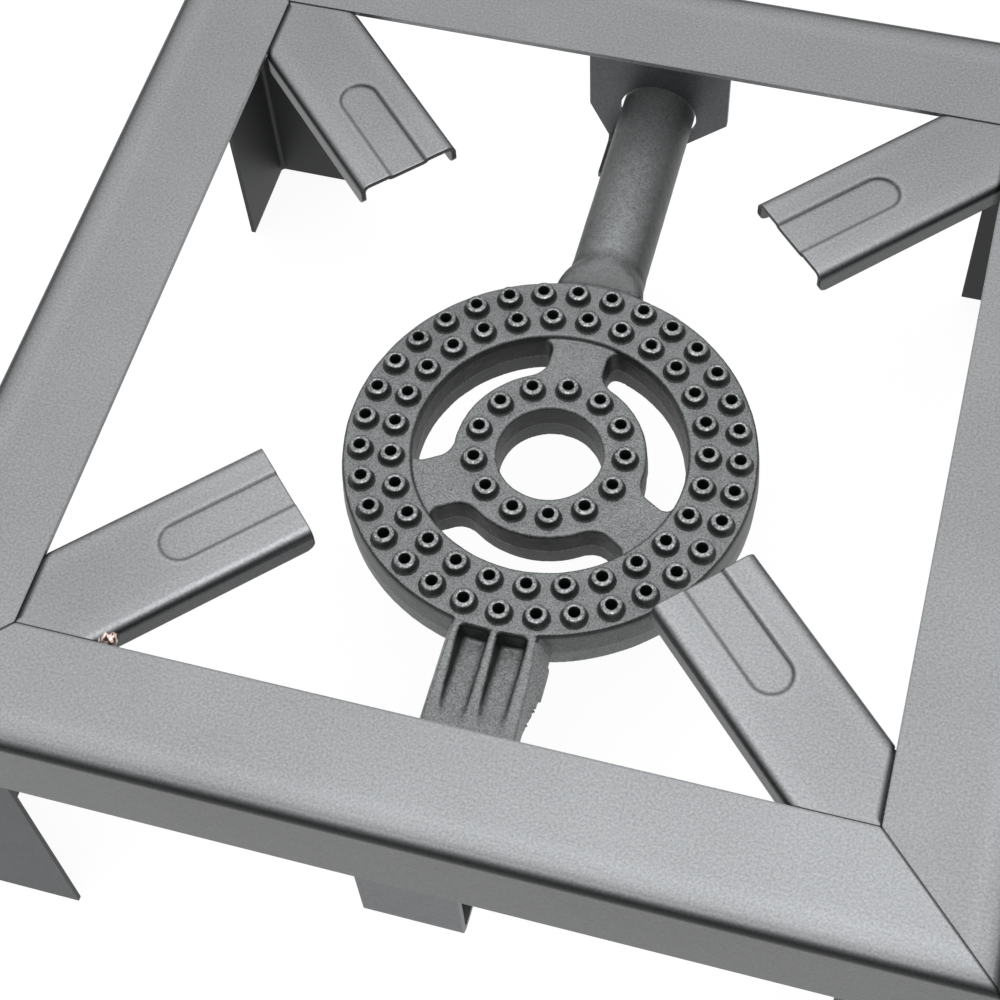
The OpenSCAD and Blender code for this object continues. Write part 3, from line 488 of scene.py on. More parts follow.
def build_support(name, turn):
    """A pan support's outer skin: the channel's profile laid out flat and run from the tip to the mitred
    root, its pressed panel sunk by a smooth step. A Solidify gives it the sheet's thickness. Attributes give
    how far a point lies from the fold, the painted shade and highlight round the panel's crease, the painted
    shadow at the seam and a painted sheen."""
    flat = support_w / 2 - fold_out
    bend = fold_out * math.pi / 2
    across_end = flat + bend + support_h - fold_out
    u = np.linspace(-across_end, across_end, int(2 * across_end / sheet_step) + 1)
    a = np.abs(u)
    angle = np.clip((a - flat) / fold_out, 0, math.pi / 2)
    v = np.copysign(np.minimum(a, flat) + fold_out * np.sin(angle), u)
    down = fold_out * (1 - np.cos(angle)) + np.maximum(a - flat - bend, 0)
    left = np.maximum(support_corner - (support_h - down), 0)
    left = np.minimum(left, support_corner - 0.05)
    start = support_tip + support_corner - np.sqrt(support_corner ** 2 - left ** 2)
    root = (half - rail_w - seam) * math.sqrt(2)
    s = np.linspace(0, 1, int((root - support_tip) / sheet_step) + 1)[:, None]
    x = start + s * (root - np.abs(v) - start)
    past = np.maximum(x - support_tip - panel_len + panel_w / 2, 0)
    from_middle = np.hypot(past, v)
    edge = from_middle - panel_w / 2
    sink = ease(np.clip(-edge / panel_slope + 0.15, 0, 1))
    y = np.broadcast_to(v, x.shape)
    z = frame_top - np.broadcast_to(down, x.shape) - panel_d * sink
    turn = math.radians(turn)
    points = np.stack([x * math.cos(turn) - y * math.sin(turn), x * math.sin(turn) + y * math.cos(turn), z],
                      axis=-1)
    # Painted shade in the crease, darkest and widest along the panel's rear side, with a painted highlight
    # line outside it
    away = (past * math.sin(turn) + v * math.cos(turn)) / np.maximum(from_middle, 1)
    crease_w = 0.65 + 0.25 * away
    crease = (0.89 + 0.67 * away) * np.exp(-((edge + 0.45 * panel_slope) / crease_w) ** 2)
    crease -= 0.2 * np.exp(-((edge - 0.9) / 0.8) ** 2)
    # The seam's shadow is wide at the side rail and thin at the end rail
    from_root = (root - np.abs(v) - x) / math.sqrt(2)
    at_side_rail = -v * math.sin(2 * turn) > 0
    shadow = np.where(at_side_rail, np.exp(-(from_root / 1.9) ** 2), 0.45 * np.exp(-(from_root / 0.6) ** 2))
    # Painted sheen: brighter towards the tip and towards the front side
    sheen = np.interp(x, (support_tip, 190.0), (1.15, 0.99)) - 0.1 * v * math.cos(turn) / support_w
    thing = piece_from(name, points.reshape(-1, 3), grid_faces(*x.shape)[:, ::-1],
                       fold=np.broadcast_to(flat + bend / 2 - a, x.shape), crease=crease,
                       seam=shadow, sheen=sheen)
    wall = thing.modifiers.new("Sheet thickness", "SOLIDIFY")
    wall.thickness = sheet_t * MM
    wall.offset = -1
    wall.use_even_offset = True
    wall.material_offset_rim = 1
    return thing


# Welds

def build_weld(name, start, end, radius, seed):
    """A closed weld bead along a straight seam: a round section whose radius swells with each pass of the
    rod and tapers to its rounded ends. Start and end are points in millimetres."""
    start, end = np.array(start, float), np.array(end, float)
    length = np.linalg.norm(end - start)
    side = np.cross((end - start) / length, (0, 0, 1.0))
    s = np.linspace(0, 1, int(length / bead_step) + 3)[:, None]
    turn = np.arange(bead_sides) * 2 * math.pi / bead_sides
    # Each pass of the rod leaves a lump, and slower waves shift round the bead
    lumps = 1 + 0.14 * np.sin(s * length * 3.1 + seed)
    lumps = lumps + 0.1 * np.sin(s * length * 1.3 + 2 * seed + np.sin(3 * turn))
    r = radius * lumps * np.sqrt(np.clip(1 - np.abs(2 * s - 1) ** 12, 0.004, 1))
    points = (start + s[..., None] * (end - start) + (r * np.cos(turn))[..., None] * side
              + (r * np.sin(turn))[..., None] * np.array([0, 0, 1.0]))
    return tube_piece(name, points)


# Plug spring

def build_spring():
    """The tap's plug spring: a round wire carried along a helix between the plug and the spindle's collar,
    with closed ends."""
    low, high = (np.array(corner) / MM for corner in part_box("plug_spring"))
    middle = (low + high) / 2
    coil_r = (high[0] - low[0]) / 2 - spring_wire_r
    rise = high[2] - low[2] - 2 * spring_wire_r
    s = np.linspace(0, 1, spring_steps * spring_turns + 1)[:, None]
    at = 2 * math.pi * spring_turns * s
    turn = np.arange(spring_sides) * 2 * math.pi / spring_sides
    reach = coil_r + spring_wire_r * np.cos(turn)
    height = low[2] + spring_wire_r + rise * s + spring_wire_r * np.sin(turn)
    points = np.stack([middle[0] + reach * np.cos(at), middle[1] - axis_y / MM + reach * np.sin(at), height],
                      axis=-1)
    return tube_piece("valve_spring", points)


# Shader helpers

def add(tree, kind, inputs=None, **settings):
    """Adds a shader node. Inputs by name or number are set, or linked where the value is a socket."""
    made = tree.nodes.new(kind)
    for key, value in settings.items():
        setattr(made, key, value)
    for key, value in (inputs or {}).items():
        if isinstance(value, bpy.types.NodeSocket):
            tree.links.new(value, made.inputs[key])
        else:
            made.inputs[key].default_value = value
    return made


def calc(tree, operation, *values):
    """A Math node's result for one or two sockets or numbers."""
    return add(tree, "ShaderNodeMath", dict(enumerate(values)), operation=operation).outputs[0]


def times(tree, first, *others):
    """The product of sockets or numbers."""
    for other in others:
        first = calc(tree, "MULTIPLY", first, other)
    return first


def plus(tree, first, *others):
    """The sum of sockets or numbers."""
    for other in others:
        first = calc(tree, "ADD", first, other)
    return first


def swing(tree, value, *sizes):
    """How far a noise value lies from its middle, times each of the sizes."""
    return times(tree, calc(tree, "SUBTRACT", value, 0.5), *sizes)


def mix(tree, share, a, b):
    """The value that lies a share of the way from a to b."""
    return add(tree, "ShaderNodeMix", {"Factor": share, "A": a, "B": b}).outputs[0]


def spread(tree, value, low, high, to_low, to_high, smooth=False):
    """Maps a value's range onto another one, and holds it there. Smooth eases both ends."""
    return add(tree, "ShaderNodeMapRange", {"Value": value, "From Min": low, "From Max": high,
                                            "To Min": to_low, "To Max": to_high},
               interpolation_type="SMOOTHSTEP" if smooth else "LINEAR").outputs[0]


def between(tree, value, low, high, edge):
    """1 where the value lies between low and high, falling to 0 over the edge on both sides."""
    return times(tree, spread(tree, value, low - edge, low, 0, 1),
                 spread(tree, value, high, high + edge, 1, 0))


def xyz(tree, vector):
    """A vector's three parts."""
    return tuple(add(tree, "ShaderNodeSeparateXYZ", {0: vector}).outputs)


def noise(tree, vector, scale, detail=2.0, roughness=0.5):
    """Soft noise from 0 to 1; its scale is per metre."""
    return add(tree, "ShaderNodeTexNoise", {"Vector": vector, "Scale": scale, "Detail": detail,
                                            "Roughness": roughness}).outputs["Fac"]


def cells(tree, vector, scale):
    """Cells round scattered points: the distance to the nearest point, and a chance value for each cell."""
    made = add(tree, "ShaderNodeTexVoronoi", {"Vector": vector, "Scale": scale}).outputs
    return made["Distance"], xyz(tree, made["Color"])[0]


def tinted(tree, colour, shade):
    """A colour times a value, as a socket for Base Color."""
    return add(tree, "ShaderNodeVectorMath", {0: colour, "Scale": shade}, operation="SCALE").outputs[0]


def new_group(name, inputs, outputs):
    """A node group's tree, its input sockets and its output node. Inputs are name: default value."""
    tree = bpy.data.node_groups.new(name, "ShaderNodeTree")
    for key, value in inputs.items():
        kind = "NodeSocketVector" if value is None else "NodeSocketFloat"
        socket = tree.interface.new_socket(name=key, in_out="INPUT", socket_type=kind)
        if value is not None:
            socket.default_value = value
    for key in outputs:
        tree.interface.new_socket(name=key, in_out="OUTPUT", socket_type="NodeSocketFloat")
    start = tree.nodes.new("NodeGroupInput")
    end = tree.nodes.new("NodeGroupOutput")
    return tree, start.outputs, end.inputs


def use(tree, group, inputs):
    """Places a group and returns its outputs."""
    return add(tree, "ShaderNodeGroup", inputs, node_tree=group).outputs


# Finishes that several materials share

NOISE_GAIN = 4.0  # noise keeps close to its middle, and this brings it to its full size


def sheet_grain_group():
    """Fine mottling of a satin coated sheet, with faint clouds; Size is the grain in metres."""
    tree, given, out = new_group("Sheet grain", {"Vector": None, "Size": 0.001, "Mottle": 0.26,
                                                 "Clouds": 0.07}, ["Shade", "Height"])
    fine = noise(tree, given["Vector"], calc(tree, "DIVIDE", 1.0, given["Size"]), 3.0, 0.6)
    cloud = noise(tree, given["Vector"], 14.0, 3.0, 0.55)
    shade = plus(tree, 1.0, swing(tree, fine, given["Mottle"], NOISE_GAIN),
                 swing(tree, cloud, given["Clouds"], NOISE_GAIN))
    tree.links.new(shade, out["Shade"])
    tree.links.new(fine, out["Height"])
    return tree


def painted_fold_shade_group():
    """Painted light across a fold: a painted highlight just before it, painted shade over its outer half,
    then the flange in painted shade. Across is the way along the sheet in millimetres, from the fold's
    middle, positive on the top side. Start is where the top begins to darken."""
    tree, given, out = new_group("Painted fold shade", {"Across": 10.0, "Flange": 0.6, "Dark": 0.35, "Start": 1.6},
                                 ["Shade"])
    past = calc(tree, "SUBTRACT", given["Across"], given["Start"])
    # Painted highlight along the top just before the fold
    rim = times(tree, spread(tree, past, 0.4, 2.9, 0, 0.08), spread(tree, past, 3.4, 8.4, 1, 0))
    into = spread(tree, given["Across"], given["Start"], -1.0, 0, 1, smooth=True)
    after = spread(tree, given["Across"], -1.6, -5.0, 0, 1, smooth=True)
    side = mix(tree, after, given["Dark"], given["Flange"])
    tree.links.new(mix(tree, into, plus(tree, 1.0, rim), side), out["Shade"])
    return tree


def cast_skin_group():
    """Sand-cast iron under a thin dark coat: specks of light and dark grains, small pores and a few pits.
    Walls is the painted shade of the surfaces that face up by less than Low; those by more than High keep
    theirs."""
    tree, given, out = new_group("Cast skin", {"Vector": None, "Normal": None, "Speckle": 0.6,
                                               "Walls": 0.6, "Low": 0.25, "High": 0.85},
                                 ["Shade", "Roughness", "Height"])
    grain = noise(tree, given["Vector"], 1250.0, 2.0, 0.6)
    coarse = noise(tree, given["Vector"], 330.0, 2.0, 0.6)
    cloud = noise(tree, given["Vector"], 45.0)
    from_pore, _ = cells(tree, given["Vector"], 260.0)
    pore = spread(tree, from_pore, 0.06, 0.16, 1, 0)
    from_pit, chance = cells(tree, given["Vector"], 62.0)
    pit = times(tree, spread(tree, from_pit, 0.035, 0.07, 1, 0), spread(tree, chance, 0.55, 0.6, 0, 1))
    shade = plus(tree, 1.0, swing(tree, grain, given["Speckle"], NOISE_GAIN), swing(tree, coarse, 0.5),
                 swing(tree, cloud, 0.3), times(tree, pore, -0.18), times(tree, pit, -0.45))
    flat = spread(tree, xyz(tree, given["Normal"])[2], given["Low"], given["High"], 0, 1)
    tree.links.new(times(tree, shade, mix(tree, flat, given["Walls"], 1.0)), out["Shade"])
    tree.links.new(spread(tree, grain, 0.35, 0.65, 0.42, 0.62), out["Roughness"])
    tree.links.new(plus(tree, times(tree, grain, 0.5), coarse, times(tree, pore, -0.4)), out["Height"])
    return tree


def handling_group():
    """Handled metal: soft smudges that change its gloss and fine marks that change its shade."""
    tree, given, out = new_group("Handling", {"Vector": None, "Marks": 0.15},
                                 ["Shade", "Roughness", "Height"])
    smudge = noise(tree, given["Vector"], 60.0, 3.0, 0.6)
    fine = noise(tree, given["Vector"], 900.0, 2.0, 0.6)
    shade = plus(tree, 1.0, swing(tree, smudge, 0.5), swing(tree, fine, given["Marks"], 2.0))
    tree.links.new(shade, out["Shade"])
    tree.links.new(spread(tree, smudge, 0.3, 0.7, 0.22, 0.42), out["Roughness"])
    tree.links.new(fine, out["Height"])
    return tree


SHEET_GRAIN = sheet_grain_group()
PAINTED_FOLD_SHADE = painted_fold_shade_group()
CAST_SKIN = cast_skin_group()
HANDLING = handling_group()


# Materials

SHEET_COLOUR = (0.298, 0.306, 0.315)
SHEET_METALLIC = 0.75
SHEET_ROUGHNESS = 0.36
SHEET_BUMP = (0.25, 0.0002)
IRON_COLOUR = (0.226, 0.235, 0.237)
IRON_METALLIC = 0.35


def new_material(name, metallic, roughness):
    """A material with its Principled shader: returns the material, its tree, the shader and the Object
    coordinates."""
    made = bpy.data.materials.new(name)
    made.use_nodes = True
    tree = made.node_tree
    shader = tree.nodes["Principled BSDF"]
    shader.inputs["Metallic"].default_value = metallic
    shader.inputs["Roughness"].default_value = roughness
    return made, tree, shader, tree.nodes.new("ShaderNodeTexCoord").outputs["Object"]


def bump(tree, shader, height, strength, distance):
    """Roughens the surface by a height from 0 to 1; the distance is in metres."""
    made = add(tree, "ShaderNodeBump", {"Height": height, "Strength": strength, "Distance": distance})
    tree.links.new(made.outputs[0], shader.inputs["Normal"])


def facing(tree):
    """The surface's own direction in the object's frame."""
    return tree.nodes.new("ShaderNodeTexCoord").outputs["Normal"]


def attribute(tree, name):
    """A piece's own values at its points."""
    return add(tree, "ShaderNodeAttribute", attribute_name=name).outputs["Fac"]


def burner_xyz(tree, where):
    """The place on the object in millimetres round the burner's axis."""
    return xyz(tree, add(tree, "ShaderNodeMapping", {"Vector": where, "Location": (0, -axis_y / MM, 0),
                                                     "Scale": (1 / MM, 1 / MM, 1 / MM)}).outputs[0])


def rail_material():
    """Satin grey sheet of the rails, with painted shade and highlight across the folds. The way across the
    fold is worked out from the square's outside and the top face: half a side less the distance from the
    axis, less the depth below the top."""
    made, tree, shader, where = new_material("Satin grey rail", SHEET_METALLIC, SHEET_ROUGHNESS)
    x, y, z = burner_xyz(tree, where)
    side_x, side_y = calc(tree, "ABSOLUTE", x), calc(tree, "ABSOLUTE", y)
    inset = calc(tree, "SUBTRACT", half, calc(tree, "MAXIMUM", side_x, side_y))
    depth = calc(tree, "SUBTRACT", frame_top, z)
    grain = use(tree, SHEET_GRAIN, {"Vector": where})
    fold = use(tree, PAINTED_FOLD_SHADE, {"Across": calc(tree, "SUBTRACT", inset, depth), "Flange": 0.34,
                                  "Dark": 0.11, "Start": 8.0})
    off_mitre = calc(tree, "SUBTRACT", side_x, side_y)
    # Painted shadow along the mitred seams
    mitre_shadow = spread(tree, calc(tree, "ABSOLUTE", off_mitre), 0.5, 1.0, 0.35, 1)
    rim = spread(tree, calc(tree, "SUBTRACT", rail_w, inset), 0.2, 0.9, 0.7, 1)
    # Painted shade: the right rail is a little darker towards its front end
    right_front = times(tree, spread(tree, off_mitre, -0.3, 0.3, 0, 1), spread(tree, x, 0, 1, 0, 1),
                        spread(tree, y, -60, -170, 0, 1))
    shade = times(tree, grain["Shade"], fold["Shade"], mitre_shadow, rim, mix(tree, right_front, 1, 0.83))
    tree.links.new(tinted(tree, SHEET_COLOUR, shade), shader.inputs["Base Color"])
    bump(tree, shader, grain["Height"], *SHEET_BUMP)
    return made


def support_material():
    """Satin grey sheet of the supports, with painted shade across the folds, in the crease round the pressed
    panel and at the seam, and a painted sheen.
    """
    made, tree, shader, where = new_material("Satin grey support", SHEET_METALLIC, SHEET_ROUGHNESS)
    grain = use(tree, SHEET_GRAIN, {"Vector": where})
    fold = use(tree, PAINTED_FOLD_SHADE, {"Across": attribute(tree, "fold"), "Flange": 0.28, "Dark": 0.2})
    # Painted shade in the crease with a painted highlight outside it, and painted shadow at the seam
    crease = spread(tree, attribute(tree, "crease"), -0.2, 1.4, 1.08, 0.08)
    shadow = spread(tree, attribute(tree, "seam"), 0.2, 0.85, 1, 0.12)
    shade = times(tree, grain["Shade"], fold["Shade"], crease, attribute(tree, "sheen"), shadow)
    tree.links.new(tinted(tree, SHEET_COLOUR, shade), shader.inputs["Base Color"])
    bump(tree, shader, grain["Height"], *SHEET_BUMP)
    return made


def plain_sheet_material(name, colour, metallic, roughness, inner=1.0):
    """Satin sheet without painted shade at a fold. Inner is the painted shade of the surfaces that face a
    point on the axis, 150 mm above the floor."""
    made, tree, shader, where = new_material(name, metallic, roughness)
    grain = use(tree, SHEET_GRAIN, {"Vector": where, "Clouds": 0.12})
    centred = add(tree, "ShaderNodeMapping", {"Vector": where, "Location": (0, -axis_y, -0.15)}).outputs[0]
    outward = add(tree, "ShaderNodeVectorMath", {0: centred, 1: facing(tree)}, operation="DOT_PRODUCT")
    side = spread(tree, outward.outputs["Value"], -0.02, 0.02, inner, 1)
    tree.links.new(tinted(tree, colour, times(tree, grain["Shade"], side)), shader.inputs["Base Color"])
    bump(tree, shader, grain["Height"], *SHEET_BUMP)
    return made


def painted_wall_shade(tree, x, y, z, rho):
    """Painted shade of the casting's walls: deep inside the rings and between the arm's ribs, lighter
    elsewhere, both darkest above the parting plane."""
    upper = spread(tree, z, part_z - 1.5, part_z + 1.0, 0, 1)
    over_arm = spread(tree, y, 0.6 - outer_r, -0.6 - outer_r, 0, 1)
    by_ribs = spread(tree, calc(tree, "ABSOLUTE", x), 14.8, 15.6, 1, 0)
    deep_shade = calc(tree, "MAXIMUM", spread(tree, rho, 59.0, 61.0, 1, 0), times(tree, over_arm, by_ribs))
    channel_root = times(tree, over_arm, spread(tree, y, -outer_r - 7, -outer_r - 3, 0, 1))
    inner_wall = times(tree, mix(tree, upper, 0.25, 0.12), mix(tree, channel_root, 1, 0.45))
    outer_wall = times(tree, plus(tree, mix(tree, upper, 0.76, 0.55), times(tree, over_arm, 0.62)),
                       spread(tree, y, outer_r, neck_y, 1, 0.6))
    return mix(tree, deep_shade, outer_wall, inner_wall)


def painted_edge_shade(tree, z, rho, up):
    """Painted shade of a thin dark line along the faces' edges, faint at the inner ones."""
    on_bend = times(tree, spread(tree, up, 0.93, 0.8, 0, 1), spread(tree, rho, 86.5, 87.0, 1, 0))
    line = times(tree, on_bend, between(tree, z, face_z - 2.1, face_z - 0.25, 0.3),
                 spread(tree, rho, 78.0, 80.0, 0.35, 1))
    return mix(tree, line, 1, 0.22)


def painted_neck_shade_and_highlight(tree, y, up):
    """Painted shade and highlight along the neck and tube: dark where the neck leaves the ring, lighter
    towards and along the tube, bright on the tube's flanks.
    """
    flank_highlight = times(tree, spread(tree, up, 0.45, 0.05, 0, 0.6), spread(tree, y, neck_y - 4, neck_y, 0, 1))
    return times(tree, spread(tree, y, outer_r - 1.5, outer_r + 0.5, 1, 0.55),
                 spread(tree, y, outer_r + 1.5, neck_y, 1, 1.5),
                 spread(tree, y, neck_y - 1, neck_y + 3, 1, 1.62), plus(tree, 1.0, flank_highlight))


def iron_material():
    """The rings', arm's and tube's iron, rougher and more speckled on the rings than on the tube, with
    painted shade on the walls and along the edges, and painted shade and highlight along the neck and tube.
    """
    made, tree, shader, where = new_material("Cast iron skin", IRON_METALLIC, 0.5)
    x, y, z = burner_xyz(tree, where)
    rho = calc(tree, "SQRT", plus(tree, times(tree, x, x), times(tree, y, y)))
    normal = facing(tree)
    up = xyz(tree, normal)[2]
    skin = use(tree, CAST_SKIN, {"Vector": where, "Normal": normal, "Walls": painted_wall_shade(tree, x, y, z, rho),
                                 "Speckle": spread(tree, y, 20.0, neck_y, 0.65, 0.38),
                                 "Low": spread(tree, y, outer_r, neck_y, 0.25, 0.62),
                                 "High": spread(tree, y, outer_r, neck_y, 0.85, 0.99)})
    shade = times(tree, skin["Shade"], painted_edge_shade(tree, z, rho, up), painted_neck_shade_and_highlight(tree, y, up))
    tree.links.new(tinted(tree, IRON_COLOUR, shade), shader.inputs["Base Color"])
    tree.links.new(skin["Roughness"], shader.inputs["Roughness"])
    bump(tree, shader, skin["Height"], 0.5, 0.0004)
    return made


def nozzle_material():
    """Cast iron, uncoated, bright and glossier where the tip was cut on the lathe, with painted highlights
    at the tip's edges and painted glints on it, and painted shade down the side, at the foot and down the
    port.
    """
    made, tree, shader, where = new_material("Nozzle iron", IRON_METALLIC, 0.5)
    skin = use(tree, CAST_SKIN, {"Vector": where, "Normal": facing(tree), "Speckle": 0.7, "Walls": 0.25})
    faced_and_highlight = attribute(tree, "machined")
    # Brighter, glossier patches on the cut tip, partly painted glints
    chip_and_glint = times(tree, faced_and_highlight, spread(tree, noise(tree, where, 700.0, 3.0, 0.7), 0.42, 0.62, 0, 1))
    shade = times(tree, skin["Shade"], plus(tree, 1.0, times(tree, chip_and_glint, 1.2)),
                  spread(tree, attribute(tree, "hollow"), 0, 1, 1, 0.2))
    tree.links.new(tinted(tree, IRON_COLOUR, shade), shader.inputs["Base Color"])
    tree.links.new(spread(tree, faced_and_highlight, 0, 1, IRON_METALLIC, 0.8), shader.inputs["Metallic"])
    tree.links.new(spread(tree, chip_and_glint, 0, 1, 0.5, 0.28), shader.inputs["Roughness"])
    bump(tree, shader, skin["Height"], 0.35, 0.0003)
    return made


def tack_material():
    """The copper-brown tack at the left support, with painted highlights on scattered facets."""
    made, tree, shader, where = new_material("Tack weld", 0.6, 0.4)
    _, chance = cells(tree, where, 620.0)
    painted_highlight = spread(tree, chance, 0.5, 0.62, 0, 1)
    # Sockets 6 and 7 are the two colours, brown and the painted highlight
    mixed = add(tree, "ShaderNodeMix", {0: painted_highlight, 6: (0.09, 0.052, 0.036, 1), 7: (0.9, 0.72, 0.66, 1)},
                data_type="RGBA").outputs[2]
    tree.links.new(mixed, shader.inputs["Base Color"])
    bump(tree, shader, noise(tree, where, 900.0, 3.0, 0.6), 0.6, 0.0006)
    return made


def metal_material(name, colour):
    """Bare or plated metal with handling marks."""
    made, tree, shader, where = new_material(name, 1.0, 0.3)
    handled = use(tree, HANDLING, {"Vector": where})
    tree.links.new(tinted(tree, colour, handled["Shade"]), shader.inputs["Base Color"])
    tree.links.new(handled["Roughness"], shader.inputs["Roughness"])
    bump(tree, shader, handled["Height"], 0.2, 0.00008)
    return made


def moulded_material(name, colour, roughness):
    """Moulded plastic or rubber, with a fine spark-eroded grain."""
    made, tree, shader, where = new_material(name, 0.0, roughness)
    handled = use(tree, HANDLING, {"Vector": where, "Marks": 0.3})
    tree.links.new(tinted(tree, colour, handled["Shade"]), shader.inputs["Base Color"])
    bump(tree, shader, noise(tree, where, 1500.0), 0.25, 0.0001)
    return made


# Build and dress

def dress(thing, material):
    """Gives every slot of a piece the material, and gives the piece a slot where it has none."""
    if not thing.data.materials:
        thing.data.materials.append(material)
    for i in range(len(thing.data.materials)):
        thing.data.materials[i] = material


iron = iron_material()
nozzle_iron = nozzle_material()
rings, tube = build_casting()
for thing in (rings, tube):
    dress(thing, iron)
    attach(thing, "root")
    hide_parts("burner_casting")
for seed, (name, row) in enumerate(ROWS.items()):
    row_piece = build_nozzles(name, *row, seed)
    dress(row_piece, nozzle_iron)
    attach(row_piece, "root")
    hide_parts("burner_casting")

support_sheet = support_material()
# The supports' cut edges are coloured dark as painted shade
cut_edge_shade = plain_sheet_material("Cut sheet edge", (0.1, 0.1, 0.1), 0.7, 0.45)
for corner, turn in (("front_left", 225), ("front_right", 315), ("rear_right", 45), ("rear_left", 135)):
    support = build_support("pan_support_" + corner, turn)
    dress(support, support_sheet)
    support.data.materials.append(cut_edge_shade)
    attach(support, "root")
    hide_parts("support_" + corner)

# The beads under the seams are coloured as painted shadow in the seam gaps: dark at the side rails, grey at
# the end rails
dark_weld_shadow = plain_sheet_material("Dark weld", (0.05, 0.05, 0.052), 0.3, 0.55)
grey_weld_shadow = plain_sheet_material("Grey weld", (0.17, 0.17, 0.175), 0.4, 0.5)
tack_metal = tack_material()
inner = half - rail_w
start_at = inner - bead_in
weld_z = frame_top - sheet_t - bead_drop
seam_len = support_w / math.sqrt(2) - bead_r
for seed, (corner, sx, sy) in enumerate((("front_left", -1, -1), ("front_right", 1, -1),
                                         ("rear_right", 1, 1), ("rear_left", -1, 1))):
    at = (sx * start_at, sy * start_at, weld_z)
    stops = {"end": ((at[0] - sx * seam_len, at[1], weld_z), grey_weld_shadow),
             "side": ((at[0], at[1] - sy * seam_len, weld_z), dark_weld_shadow)}
    for way, (stop, metal) in stops.items():
        weld = build_weld("weld_" + corner + "_" + way, at, stop, bead_r, seed)
        dress(weld, metal)
        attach(weld, "root")
tack = build_weld("tack_weld", TACK_FROM, TACK_TO, tack_r, 5)
dress(tack, tack_metal)
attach(tack, "root")

rail_sheet = rail_material()
# The legs' dark colour is painted shade under the frame, and their inner faces get deeper painted shade
shaded_leg_sheet = plain_sheet_material("Satin grey leg", (0.07, 0.074, 0.078), 0.2, 0.55, inner=0.3)
hanger_steel = plain_sheet_material("Hanger steel", (0.10, 0.105, 0.11), 0.6, 0.42)
shutter_steel = plain_sheet_material("Shutter steel", (0.30, 0.31, 0.32), 0.9, 0.35)
zinc = metal_material("Zinc plate", (0.62, 0.63, 0.62))
spring_steel = metal_material("Spring steel", (0.45, 0.46, 0.47))
brass = metal_material("Turned brass", (0.72, 0.50, 0.20))
knob_plastic = moulded_material("Black knob plastic", (0.025, 0.025, 0.027), 0.38)
seal_rubber = moulded_material("Seal rubber", (0.05, 0.05, 0.05), 0.6)

FINISHES = {
    rail_sheet: ["front_rail", "right_rail", "rear_rail", "left_rail"],
    shaded_leg_sheet: ["leg_front_left", "leg_front_right", "leg_rear_right", "leg_rear_left"],
    hanger_steel: ["front_hanger", "rear_hanger"],
    shutter_steel: ["air_shutter"],
    zinc: ["arm_bolt", "arm_washer", "arm_nut", "tube_bolt", "tube_washer"],
    spring_steel: ["wave_washer"],
    brass: ["injector_holder", "injector", "tap_body", "tap_plug", "tap_spindle", "tap_bonnet", "union_nut",
            "hose_tail"],
    knob_plastic: ["tap_knob"],
    seal_rubber: ["inlet_seal"],
}
for material, names in FINISHES.items():
    for name in names:
        dress(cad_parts[name], material)

spring = build_spring()
dress(spring, spring_steel)
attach(spring, "plug")
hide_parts("plug_spring")
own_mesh(spring)


# Floor, light and camera

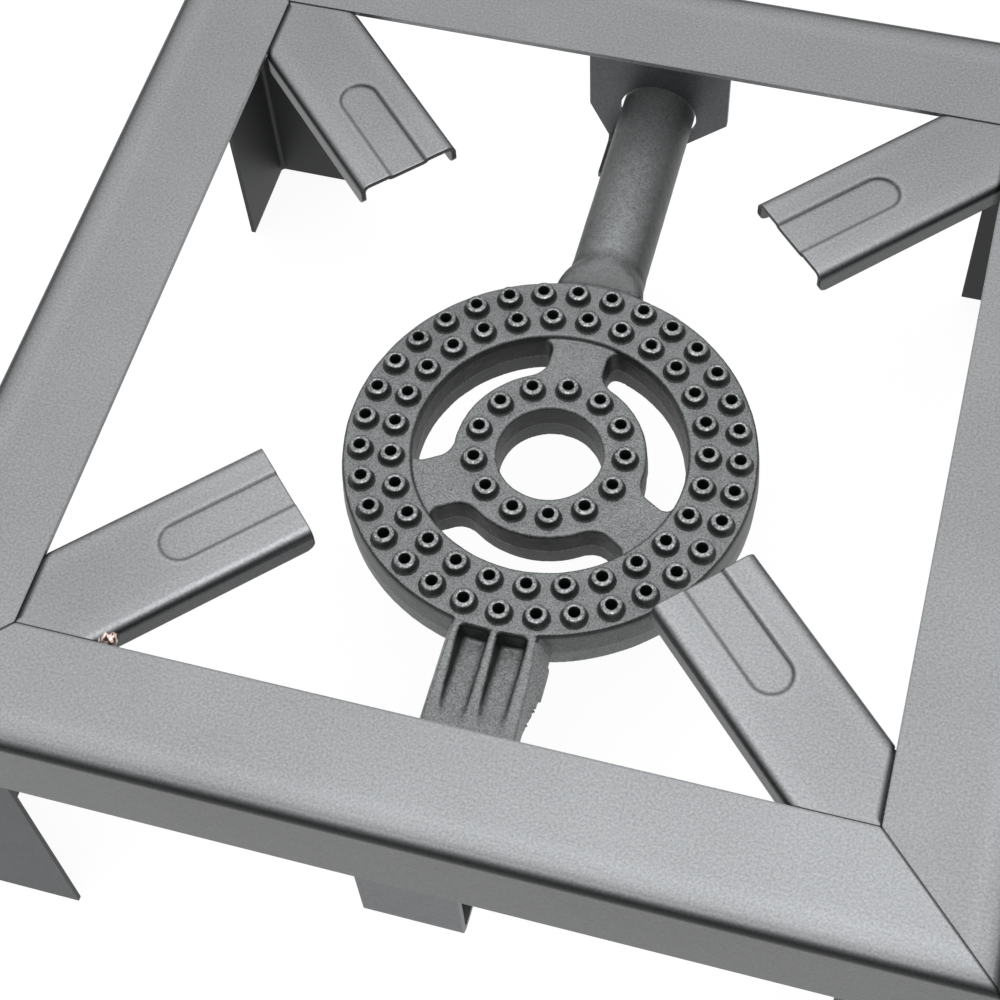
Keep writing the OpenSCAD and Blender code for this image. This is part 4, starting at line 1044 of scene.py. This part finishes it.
def build_floor():
    """A pale floor that the camera and the metal see as nearly white, with the object's soft shadow. From
    below it isn't seen."""
    size = 4000.0
    corners = [(-size, -size, 0), (size, -size, 0), (size, size, 0), (-size, size, 0)]
    floor = piece_from("floor", corners, [(0, 1, 2, 3)])
    made = bpy.data.materials.new("Pale floor")
    made.use_nodes = True
    tree = made.node_tree
    tree.nodes.clear()
    path = tree.nodes.new("ShaderNodeLightPath").outputs
    seen = calc(tree, "MAXIMUM", path["Is Camera Ray"],
                calc(tree, "MAXIMUM", path["Is Glossy Ray"], path["Is Transmission Ray"]))
    matt = add(tree, "ShaderNodeBsdfDiffuse", {"Color": (0.9, 0.9, 0.9, 1)})
    glow = add(tree, "ShaderNodeEmission", {"Color": (1, 1, 1, 1), "Strength": 1.075})
    shown = add(tree, "ShaderNodeMixShader", {0: times(tree, seen, 0.87), 1: matt.outputs[0],
                                              2: glow.outputs[0]})
    below = tree.nodes.new("ShaderNodeNewGeometry").outputs["Backfacing"]
    clear = tree.nodes.new("ShaderNodeBsdfTransparent")
    both = add(tree, "ShaderNodeMixShader", {0: below, 1: shown.outputs[0], 2: clear.outputs[0]})
    end = tree.nodes.new("ShaderNodeOutputMaterial")
    tree.links.new(both.outputs[0], end.inputs["Surface"])
    floor.data.materials.append(made)
    floor.location.z = -0.0002


def build_world():
    """Soft studio surround: bright overhead, dim towards the horizon, a little brighter on the left, and
    white where the camera sees it."""
    world = bpy.data.worlds.new("Studio")
    world.use_nodes = True
    bpy.context.scene.world = world
    tree = world.node_tree
    tree.nodes.clear()
    where = tree.nodes.new("ShaderNodeTexCoord").outputs["Generated"]
    right, _, up = xyz(tree, where)
    level = times(tree, spread(tree, up, 0.3, 0.95, 0.4, 1.24, smooth=True),
                  spread(tree, right, -1, 1, 1.12, 0.88))
    by_camera = tree.nodes.new("ShaderNodeLightPath").outputs["Is Camera Ray"]
    strength = mix(tree, by_camera, level, 1.0)
    back = add(tree, "ShaderNodeBackground", {"Color": (1, 1, 1, 1), "Strength": strength})
    end = tree.nodes.new("ShaderNodeOutputWorld")
    tree.links.new(back.outputs[0], end.inputs["Surface"])


def build_lamp(name, place, target, size, power):
    """A square soft lamp at a place, aimed at a target, both in metres."""
    data = bpy.data.lights.new(name, "AREA")
    data.shape = "SQUARE"
    data.size = size
    data.energy = power
    lamp = bpy.data.objects.new(name, data)
    lamp.location = place
    lamp.rotation_euler = (Vector(target) - Vector(place)).to_track_quat("-Z", "Y").to_euler()
    bpy.context.scene.collection.objects.link(lamp)


def build_camera():
    """The photograph's view: a pinhole fitted to the frame's edges and the nozzles."""
    data = bpy.data.cameras.new("camera")
    data.sensor_width = 36.0
    data.lens = 71.45
    camera = bpy.data.objects.new("camera", data)
    camera.location = (0.1226, -0.4601, 0.7874)
    camera.rotation_euler = [math.radians(a) for a in (30.683, 2.465, 15.393)]
    bpy.context.scene.collection.objects.link(camera)
    bpy.context.scene.camera = camera


build_floor()
build_world()
build_lamp("overhead", (0.2, -0.3, 2.0), (0.0, 0.0, 0.1), 1.6, 10.0)
build_camera()
bpy.context.scene.view_settings.view_transform = "Standard"
